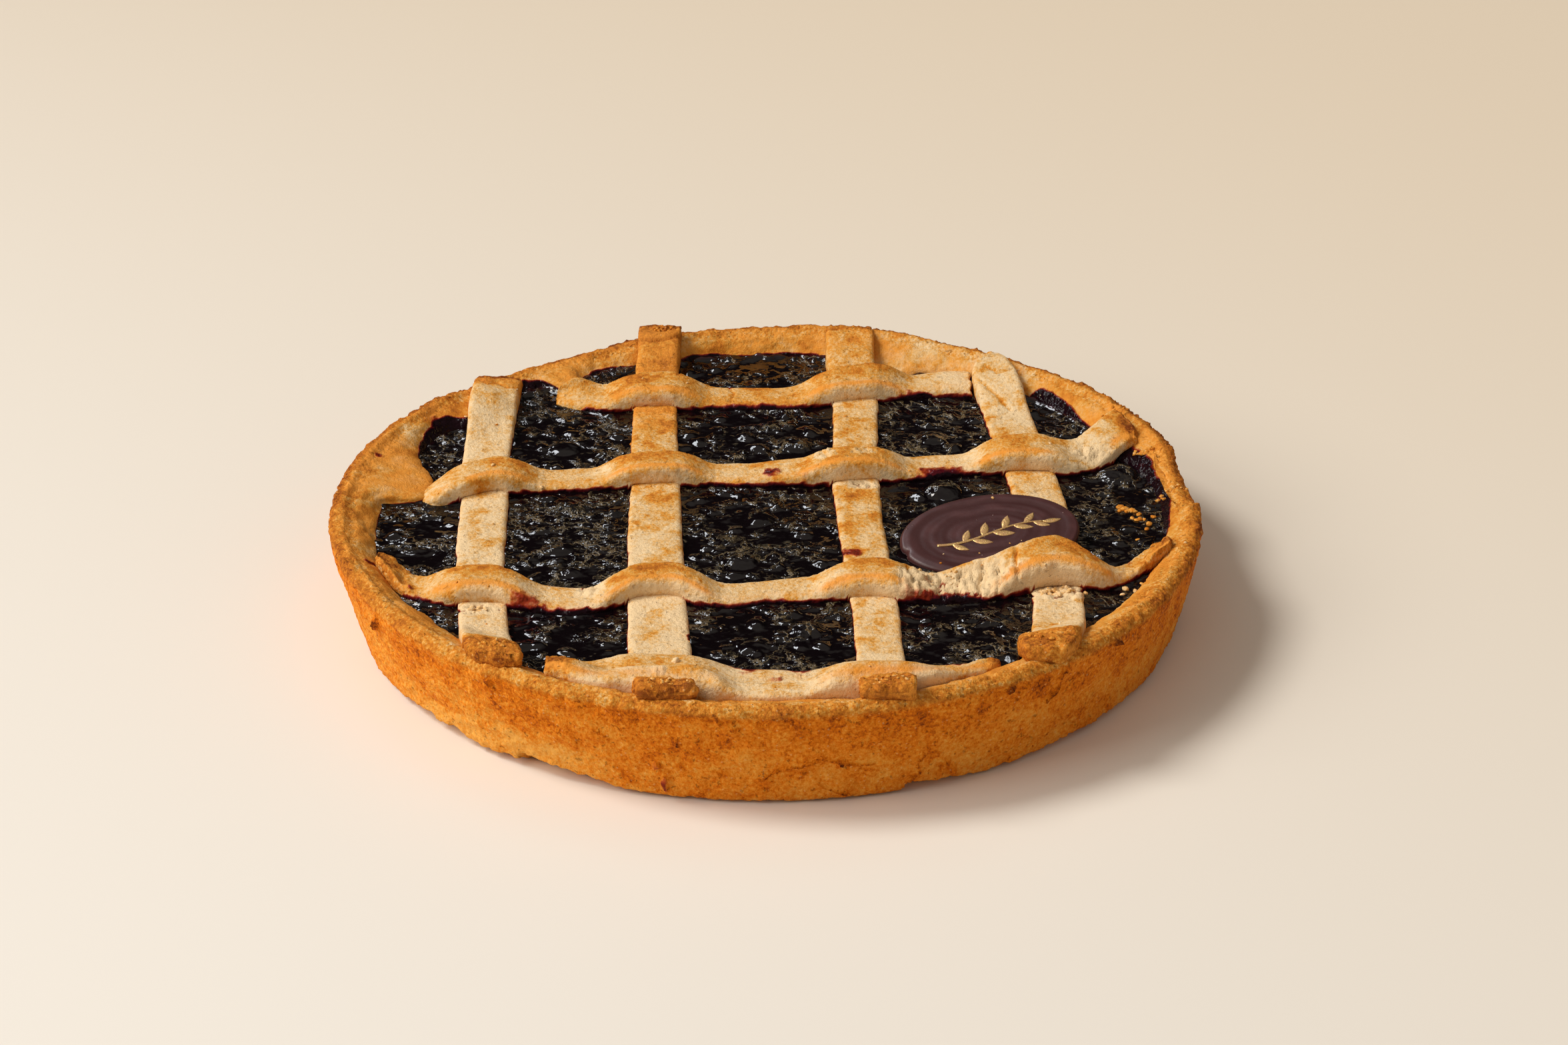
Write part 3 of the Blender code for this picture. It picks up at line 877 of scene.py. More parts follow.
@dataclass
class Case:
    """The shortcrust case: a flat base, a crumbly wall that leans outwards and a broad rim."""

    base_radius: float = 115.2 * MM
    rim_radius: float = RIM_RADIUS
    rim_height: float = 29.7 * MM
    rim_edge_radius: float = 114.6 * MM
    floor_height: float = 6.0 * MM
    floor_radius: float = 103.0 * MM
    jam_radius: float = 110.2 * MM
    jam_level: float = JAM_LEVEL
    inner_corner: Pairs = ((107.6 * MM, 15.1 * MM),)
    step: float = 0.56 * MM
    around: int = 1064
    swells: tuple[Swell, ...] = each(
        Swell,
        (127, 14, 0, -2.4, 0), (77, 11, 0.6, 1.2, 0), (28, 16, 1.6, 0, 1.2), (7, 8, -2.2, -1, 2.4),
        (-9, 6, 0.2, 0.4, 0.6), (172, 26, 1.9, 0, 1.2), (-90, 52, 0.6, 1.3, 0.6),
    )
    # Lower edge of the wall, where bits of it have come away: azimuth, height in millimetres
    foot: Pairs = (
        (-180, 0.3), (-155, 0.3), (-150, 1), (-145, 2.3), (-140.3, 3.4), (-139.6, 1.8), (-137, 1.9), (-136.4, 3.4),
        (-134.6, 3.1), (-133.8, 1.9), (-131, 1.2), (-126, 2), (-124.6, 1.4), (-124, 3.9), (-121, 3.9), (-117, 3.2),
        (-115.5, 2.1), (-114, 2.5), (-110, 1.3), (-106, 0.7), (-96, 0.5), (-76, 0.4), (-72.6, 0.2), (-71.8, 3.2),
        (-69.5, 1.8), (-66, 1.4), (-62, 0.5), (-56, 1), (-50, 1.6), (-40, 2), (-30, 1.1), (-20, 2), (-5, 0.8),
        (20, 0.5), (60, 1.4), (95, 0.4), (130, 1.2), (160, 0.4), (180, 0.3),
    )
    # Top of the pale band that the tin kept from browning: azimuth, height in millimetres
    pale_band: Pairs = (
        (-146, 0), (-143, 4), (-140, 8.5), (-135, 9.5), (-130, 13), (-125, 13.5), (-121, 10.5), (-117, 12),
        (-111, 11), (-108, 4), (-105, 0),
    )

    # Where the jam meets the inside of the wall: azimuth, radius in millimetres
    shore: Pairs = (
        (-180, 110), (-160, 110.5), (-152, 110.2), (-147, 108.5), (-140, 108.6), (-126, 108.5), (-114, 107),
        (-110, 109.6), (-98, 109.6), (-95, 106), (-92, 104.5), (-86, 105), (-80.5, 106), (-78.5, 109.6),
        (-70, 109.6), (-67, 107.4), (-60, 107.4), (-45, 107.5), (-36, 108.5), (-25, 109.5), (-15, 110.4),
        (4, 110.6), (12, 110.6), (17, 109), (19.5, 105.5), (20.8, 101.5), (23, 99.5), (26, 100), (27.4, 103),
        (28.6, 107.5), (31, 109.8), (40, 110.6), (44, 110.2), (46.5, 109.6), (59, 109.6), (63.5, 107), (66, 104.2),
        (72, 104.6), (79, 108.5), (83, 110.6), (99, 110.6), (104, 110.2), (108, 110), (118, 110.4), (121.4, 109),
        (122.8, 102.6), (124, 100), (126, 100.5), (126.8, 106), (128, 110.4), (138.6, 110.4), (139.6, 105),
        (146, 104.4), (147.6, 109), (149, 110.4), (156, 110.2), (159, 108.6), (162, 104.6), (164.6, 100.5),
        (167, 98.4), (173, 98), (174.4, 103), (175.2, 109.5), (180, 110),
    )
    # How high jam coats the inside of the wall: azimuth, height in millimetres
    smear: Pairs = (
        (-180, 24.6), (-30, 24.6), (-12, 25.6), (-6, 27.2), (4, 26.9), (8, 27.6), (11.4, 26.6), (16, 28),
        (19.6, 28.2), (20.8, 26), (21.6, 24.2), (27, 24.2), (28.5, 25.2), (32.4, 25.6), (37, 26.9), (41, 27.8),
        (43.4, 28.1), (44.6, 26.6), (45.4, 24.2), (65, 24.2), (68, 25.4), (70, 24.2), (80, 24.6), (82.6, 25.7),
        (87, 25.4), (93.6, 24.8), (99.8, 25.6), (103, 25.8), (105, 24.8), (113, 25), (115, 25.6), (118, 25.6),
        (121, 24.6), (126, 24.2), (127.4, 26.4), (129.5, 27), (138, 26.4), (146.6, 27.4), (147.5, 28.3),
        (150, 28.4), (153.8, 27.2), (158, 25.8), (162, 24.4), (167.6, 24.2), (168.6, 25.2), (171, 25.2),
        (174, 24.6), (180, 24.6),
    )

    def shore_radius(self, azimuth: Array) -> Array:
        """Radius at which the jam meets the inside of the wall."""
        return np.interp(azimuth, *zip(*self.shore)) * MM

    def smear_height(self, azimuth: Array) -> Array:
        """Height up to which jam coats the inside of the wall."""
        return np.interp(azimuth, *zip(*self.smear)) * MM

    def rim_corners(self) -> list[tuple[float, float]]:
        """The true case's corners, over the rim from outside to the jam.

        Returns:
            Radius and height of each.
        """
        rim, top, edge = self.rim_radius, self.rim_height, self.rim_edge_radius
        return [
            (rim, top - 1.3 * MM),
            (rim - 1.1 * MM, top),
            (rim - 3.9 * MM, top + 0.2 * MM),
            (edge, top - 0.8 * MM),
            (edge - 2.2 * MM, top - 2.7 * MM),
            (self.jam_radius + 0.2 * MM, self.jam_level + 0.4 * MM),
        ]

    def profile(self) -> Array:
        """The true case's outline.

        Returns:
            Radius and height from the middle of the underside, over the rim, to the middle of the floor.
        """
        lean = (self.rim_radius - self.base_radius) / self.rim_height
        wall_heights = np.array((0.8, 7.5, 14, 20.5)) * MM
        shown = np.array([
            (self.base_radius - 3.0 * MM, 0),
            (self.base_radius - 0.6 * MM, 0),
            *((self.base_radius + lean * height + 0.4 * MM, height) for height in wall_heights),
            (self.rim_radius - 0.6 * MM, self.rim_height - 3.5 * MM),
            *self.rim_corners(),
            (self.jam_radius - 0.9 * MM, self.jam_level - 2.6 * MM),
        ])
        run = np.concatenate([[0], np.cumsum(np.linalg.norm(np.diff(shown, axis=0), axis=1))])
        count = int(run[-1] / self.step)
        fine = np.linspace(0, run[-1], count)
        radius, height = (relaxed(np.interp(fine, run, shown[:, axis]), 2) for axis in (0, 1))
        inside = [*self.inner_corner, (self.floor_radius, self.floor_height), (60 * MM, self.floor_height)]
        underside = [(50 * MM, 0), (95 * MM, 0)]
        return np.concatenate([underside, side_by_side(radius, np.maximum(height, 0)), inside])

    def shaped(self, radius: Array, azimuth: Array, height: Array) -> tuple[Array, Array]:
        """Where the uneven case has the point that a true round case has at this radius and height.

        Args:
            radius: Radius in the true case.
            azimuth: Azimuth in degrees.
            height: Height in the true case.

        Returns:
            Radius and height in the uneven case.
        """
        grown = np.clip(height / self.rim_height, 0, 1)
        inside = (self.floor_height <= height) & (radius < self.rim_edge_radius + 0.3 * MM)
        outward, upward = np.zeros(np.broadcast(radius, azimuth).shape), 0.0
        for swell in self.swells:
            share = swell.share(azimuth)
            outward += share * np.where(inside, swell.inner, swell.outward) * MM
            upward += share * swell.upward * MM
        return radius + outward * grown, height + upward * grown**3

    def slump(self, azimuth: Array) -> Array:
        """How far the inside of the wall reaches in beyond a true round one at the jam's level."""
        true_shore, _ = self.shaped(np.float64(self.jam_radius), azimuth, np.float64(self.jam_level))
        return true_shore - self.shore_radius(azimuth)

    def slump_share(self, height: Array) -> Array:
        """How much of the slump there is at a height, none at the top of the rim."""
        return eased(self.rim_height - height, 0, 4.6 * MM)

    def top(self, x: Array, y: Array) -> Array:
        """Height of the inside of the case or of its rim.

        Args:
            x: X of the points.
            y: Y of the points.

        Returns:
            The heights.
        """
        corners = [*self.inner_corner, *self.rim_corners()[::-1]]
        azimuth, away = np.degrees(np.arctan2(y, x)), np.hypot(x, y)
        shaped = [self.shaped(np.float64(radius), azimuth, np.float64(height)) for radius, height in corners]
        slump = self.slump(azimuth)
        shaped = [(radius - slump * self.slump_share(height), height) for radius, height in shaped]
        radii = np.stack([radius + 0 * away for radius, _ in shaped], axis=-1)
        heights = np.stack([height + 0 * away for _, height in shaped], axis=-1)
        index = np.clip((radii <= away[..., None]).sum(axis=-1) - 1, 0, len(corners) - 2)[..., None]
        low, high = np.take_along_axis(radii, index, -1)[..., 0], np.take_along_axis(radii, index + 1, -1)[..., 0]
        start = np.take_along_axis(heights, index, -1)[..., 0]
        end = np.take_along_axis(heights, index + 1, -1)[..., 0]
        return start + np.clip((away - low) / (high - low), 0, 1) * (end - start)

    def wall_distance(self, x: Array, y: Array) -> Array:
        """How far points at the jam's level are inside the wall."""
        return self.shore_radius(np.degrees(np.arctan2(y, x))) - np.hypot(x, y)

    def build(self) -> Piece:
        """Builds and dresses the case.

        Returns:
            The piece.
        """
        profile = self.profile()
        azimuth = np.linspace(-180, 180, self.around, endpoint=False)[None, :]
        radius, height = self.shaped(profile[:, :1], azimuth, profile[:, 1:])
        height = height + np.zeros_like(radius)
        from_middle = eased(radius, 104 * MM, 108 * MM)
        shown = from_middle * eased(height, 0.1 * MM, 1.5 * MM)
        angle = np.radians(azimuth)
        across = angle * self.rim_radius

        def placed(radius: Array, height: Array) -> Array:
            """The points of the case in space."""
            return side_by_side(radius * np.cos(angle), radius * np.sin(angle), height)

        slump = self.slump(azimuth) * self.slump_share(height)
        past_top = np.arange(len(profile))[:, None] - np.argmax(profile[:, 1])
        radius -= slump * eased(past_top, 1, 4) * from_middle
        foot = np.interp(azimuth, *zip(*self.foot)) * MM
        true_place = placed(radius, height)
        outer = eased(radius - (self.base_radius - 4 * MM), 0, 2 * MM)
        outside = past_top < 0
        ragged = foot + 0.7 * MM * FINE.layered(placed(np.full_like(radius, self.base_radius), 0 * height), 3, 3)
        under = eased(ragged - height, -0.4 * MM, 0.5 * MM) * outside * outer
        radius -= under * np.minimum(1.1 * ragged + 0.8 * MM, 4 * MM).clip(0)

        # Relief of the wall, of the rim's top and of the inside
        points = placed(radius, height)
        normals = surface_normals(points, (False, True))
        rim_top = eased(normals[..., 2], 0.55, 0.85) * eased(height, 27 * MM, 28 * MM)
        wall = outside * (1 - rim_top) * shown
        crumb, _, owner = MIDDLE.cells(true_place, 2.1)
        small_crumb, _, small_owner = FINE.cells(true_place, 1.15)
        rough = (
            0.55 * BROAD.layered(true_place, 9, 2)
            + 0.42 * MIDDLE.layered(true_place, 3, 2)
            + 0.60 * (0.5 - crumb) * (0.3 + owner)
            + 0.40 * (0.5 - small_crumb) * (0.2 + small_owner)
        )
        even = (
            0.25 * BROAD.layered(true_place, 12, 2)
            + 0.18 * MIDDLE.layered(true_place, 2.4, 2)
            + 0.22 * (0.5 - small_crumb)
        )
        outer_edge, outer_height = self.shaped(np.float64(self.rim_radius), azimuth, np.float64(self.rim_height))
        from_edge = (outer_edge - radius) / MM
        high = eased(height, 26 * MM, 28.5 * MM)
        torn, _, torn_owner = BROAD.cells(true_place, 1.7)
        ridge = bell(from_edge, 0.9, 1.5) * high
        crumbly = 0.35 + 0.7 * MIDDLE.layered(true_place, 4, 3) + 1.3 * (0.45 - torn) * (0.2 + torn_owner)
        lip = bell(from_edge, 6.4, 1.3) * high
        channel = bell(from_edge, 4, 1) * high
        crumbly *= (1.5 + 0.8 * bell(azimuth, 12, 34))
        lips = 0.60 * ridge * crumbly + 0.40 * lip * (0.6 + MIDDLE.layered(true_place, 7, 2)) - 0.35 * channel
        sloping = (1 - wall) * (1 - rim_top)
        chip, _, chip_owner = MIDDLE.cells(true_place, 3.4)
        folds = (
            0.7 * (0.5 - chip) * chip_owner
            + 0.5 * MIDDLE.creased(true_place * (1, 1, 2.5), 9, 2)
            + 0.5 * BROAD.layered(true_place, 8, 3)
        )
        move = (wall * rough + rim_top * even + sloping * (0.6 * even + folds) + lips) * shown
        cracks = np.zeros_like(radius)
        wobble = 0.5 * MM * FINE.layered(true_place, 2, 2)
        for crack in WALL_CRACKS:
            share = crack.mask(across + wobble, height + wobble) * wall
            cracks = np.maximum(cracks, share)
            move -= share * crack.depth
        pits = patches(WALL_PITS, across + 0 * height, height, 0.5) * wall
        move -= 1.1 * eased(pits, 0.2, 0.8)
        groove = bell(radius, 120.8 * MM, 0.9 * MM) * rim_top
        groove = groove * eased(-azimuth, 128, 140) * eased(180 + azimuth, -3, 2)
        move -= 0.9 * groove
        points += normals * (move * MM)[..., None]
        points[..., 2] = np.maximum(points[..., 2], 0)

        # What its corners carry for the crust
        on_top = eased(height - (outer_height - 3.2 * MM), 0, 2.0 * MM) * outside
        on_top = np.maximum(on_top, rim_top)
        crumbly_part = np.maximum(wall, 0.2 + 0.8 * eased(-from_edge, -8.5, -6.5))
        browning = self.browning(azimuth + 0 * height, height, wall * (1 - on_top), on_top, rough, true_place)
        # Painted shade: darker in the cracks and pits that the relief cuts into the wall
        browning = browning + 0.35 * cracks + 0.2 * eased(pits, 0.1, 0.7)
        # Painted light: the rim's outer ridge is browned except at the front, which is left paler
        browning += 0.20 * np.clip(ridge, 0, 1) * eased(points[..., 1], -0.09, -0.04)
        outer_band = eased(-from_edge, -5.6, -4.0) * (1 - wall) * (0.6 + MIDDLE.layered(true_place, 3, 3))
        browning += 0.18 * outer_band * eased(points[..., 1], -0.07, 0.0)
        stain = 0.8 * patches(WALL_STAINS, across + 0 * height, height) * wall
        stain += patches(RIM_STAINS, points[..., 0], points[..., 1])
        coated = self.smear_height(azimuth) + 0.5 * MM * MIDDLE.layered(true_place, 4, 3) - height
        soak = eased(coated, -0.2 * MM, 0.8 * MM) * (1 - outside) * (radius > 90 * MM)
        stain += soak * (1.15 + 0.5 * MIDDLE.layered(true_place, 4, 2))
        tongue = bell(azimuth, 167, 7, 4) + 0.6 * bell(azimuth, 124, 4, 4)
        gold = (1 - outside) * np.clip(0.25 + 0.6 * tongue + 1.4 * BROAD.layered(true_place, 9, 3), 0, 1) * 0.78
        # Painted highlight: gold patches on the front of the rim top
        painted_gleams = eased(BROAD.layered(true_place, 6, 3), -0.2, 0.3)
        gold += 0.5 * rim_top * eased(-points[..., 1], 0.05, 0.1) * painted_gleams
        hubs = np.array([[0, 0, 0], [0, 0, self.floor_height]])
        carried = {"browning": browning, "stain": stain, "crumbly": crumbly_part, "gold": gold}
        piece = closed_tube("pastry_case", points, hubs, True, wall=wall * (1 - on_top), **carried)
        return dress(piece, CrustFinish("case_crust", 0.32, 0.80, 0.60 * MM, WALL_COLOURS), ["case"])

    def browning(
        self, azimuth: Array, height: Array, wall: Array, rim_top: Array, rough: Array, place: Array
    ) -> Array:
        """How brown the case is baked.

        Args:
            azimuth: Azimuth of each point in degrees.
            height: Height of each point.
            wall: Share that counts as wall.
            rim_top: Share that counts as the top of the rim.
            rough: The wall's relief.
            place: The points in space.

        Returns:
            Browning from 0, pale, to 1, dark.
        """
        high = eased(height, 9 * MM, 25 * MM)
        patchy = 0.16 * BROAD.layered(place, 16, 3)
        spotty = 0.20 * MIDDLE.layered(place, 5, 3)
        # Painted shade: a little darker in the hollows of the wall's relief
        on_wall = 0.43 + 0.12 * high + patchy + 0.12 * MIDDLE.layered(place, 6, 2) - 0.05 * rough
        tops, heights = zip(*self.pale_band)
        edge = np.interp(azimuth, tops, np.array(heights) * MM, left=0, right=0)
        uneven = 1.2 * MM * MIDDLE.layered(place, 4, 2)
        pale = eased(edge + uneven - height, -1.0 * MM, 2.0 * MM) * eased(edge, 0.5 * MM, 3 * MM)
        on_wall = on_wall - 0.22 * pale - 0.07 * eased(-azimuth, 105, 135)
        on_rim = 0.54 + 0.11 * eased(np.sin(np.radians(azimuth)), -0.2, 0.3) + 0.5 * patchy + 0.4 * spotty
        left = bell(azimuth, 158, 30, 4)
        inside = 0.47 - 0.20 * bell(azimuth, 62, 17, 4) + patchy + spotty
        inside += left * (0.03 + 1.4 * np.clip(patchy + spotty, -0.05, 1))
        return wall * on_wall + rim_top * on_rim + (1 - wall - rim_top).clip(0) * inside


def at_azimuth(azimuth: float) -> float:
    """Millimetres round the rim to an azimuth in degrees."""
    return math.radians(azimuth) * RIM_RADIUS / MM


WALL_CRACKS = tuple(
    Crack(tuple((at_azimuth(azimuth), height) for azimuth, height in line), width, depth)
    for line, width, depth in (
        (((-91, 8), (-90, 10), (-88, 12.4), (-86, 12.9), (-83, 14.6), (-80, 12.2), (-77, 11.6)), 0.28, 0.8),
        (((-72.3, 0.5), (-71.6, 4), (-70.6, 7), (-71.2, 10), (-70.2, 12.5)), 0.3, 0.9),
        (((-50.2, 29), (-51.3, 25), (-51, 22), (-53.2, 18.6)), 0.3, 1.0),
        (((-101.5, 21), (-101, 17.5)), 0.22, 0.7),
        (((-83.5, 6), (-81.5, 3.5), (-80, 2.2)), 0.25, 0.7),
        (((-127.5, 29), (-126, 26.2)), 0.3, 0.8),
        (((-149.5, 27), (-150.5, 22)), 0.35, 0.9),
        (((-96.4, 29.2), (-95.6, 26.6)), 0.4, 0.9),
        (((-58.8, 29), (-59.6, 26.5)), 0.4, 1.0),
        (((-42, 29), (-40, 26.6)), 0.4, 0.8),
        (((-112, 20), (-109.5, 17.8)), 0.2, 0.5),
        (((20, 25), (22, 17)), 0.3, 0.7),
        (((88, 28), (86, 20), (89, 14)), 0.3, 0.8),
        (((140, 29), (141, 23)), 0.3, 0.8),
    )
)
WALL_PITS = tuple(
    Spot(at_azimuth(azimuth), height, reach, spread, 1.0)
    for azimuth, height, reach, spread in (
        (-103.2, 5.2, 0.7, 2.4),
        (-104.0, 11.4, 0.9, 1.3),
        (-67.0, 7.8, 1.0, 1.2),
        (-66.0, 4.3, 0.9, 1.8),
        (-96.0, 9.8, 0.8, 0.6),
        (-81.0, 13.0, 0.8, 1.0),
        (-150.5, 23.0, 1.0, 2.2),
        (-126.5, 26.6, 1.2, 1.2),
        (-94.0, 25.4, 1.3, 0.9),
        (-59.0, 27.4, 1.2, 1.0),
        (-41.0, 27.2, 1.6, 1.0),
        (60.0, 12.0, 1.2, 1.0),
        (112.0, 20.0, 1.0, 1.6),
    )
)
WALL_STAINS = (
    Spot(at_azimuth(-103.3), 4.8, 0.9, 2.4, 0.8),
    Spot(at_azimuth(-104.2), 11.2, 1.0, 1.6, 0.5),
)
RIM_STAINS = each(
    Spot,
    (-113, 32, 1.2, 1.2, 0.8), (-99, 58, 1.6, 2.2, 0.42), (-106, 34, 3.4, 5, 0.2), (-99.4, 24, 3, 1.6, 0.22),
    (-95.5, 52, 3.4, 2.4, 0.3), (104.5, -17, 4, 3, 0.5), (-108, -33, 3, 1.6, 0.8),
)


# The strips


@dataclass(frozen=True)
class StripPlan:
    """One strip: its course, how brown it is along its length, and the shape of its edges."""

    name: str
    runs_across: bool
    # Along, across, width and thickness at places on its course, in millimetres
    knots: tuple[tuple[float, float, float, float], ...]
    # Places along it in millimetres, each with how brown it is baked there
    bake: Pairs
    squareness: float
    # How far each end sinks into what it lies on, and how long it is rounded for, in millimetres
    sinks: tuple[float, float] = (0.0, 0.0)
    rounding: tuple[float, float] = (1.5, 1.5)
    # The stretch in which the strip lies on the others and on the case, in millimetres
    follows: tuple[float, float] = (-200.0, 200.0)
    # The steepest slope of its top
    slope: float = 1.25
    # How far from each end the strip is torn, in millimetres
    torn: tuple[float, float] = (1.5, 1.5)
    # How much thinner it is than elsewhere, lane by lane from front to back, in millimetres
    thinned: tuple[float, ...] = (0.0, 0.0, 0.0, 0.0, 0.0)


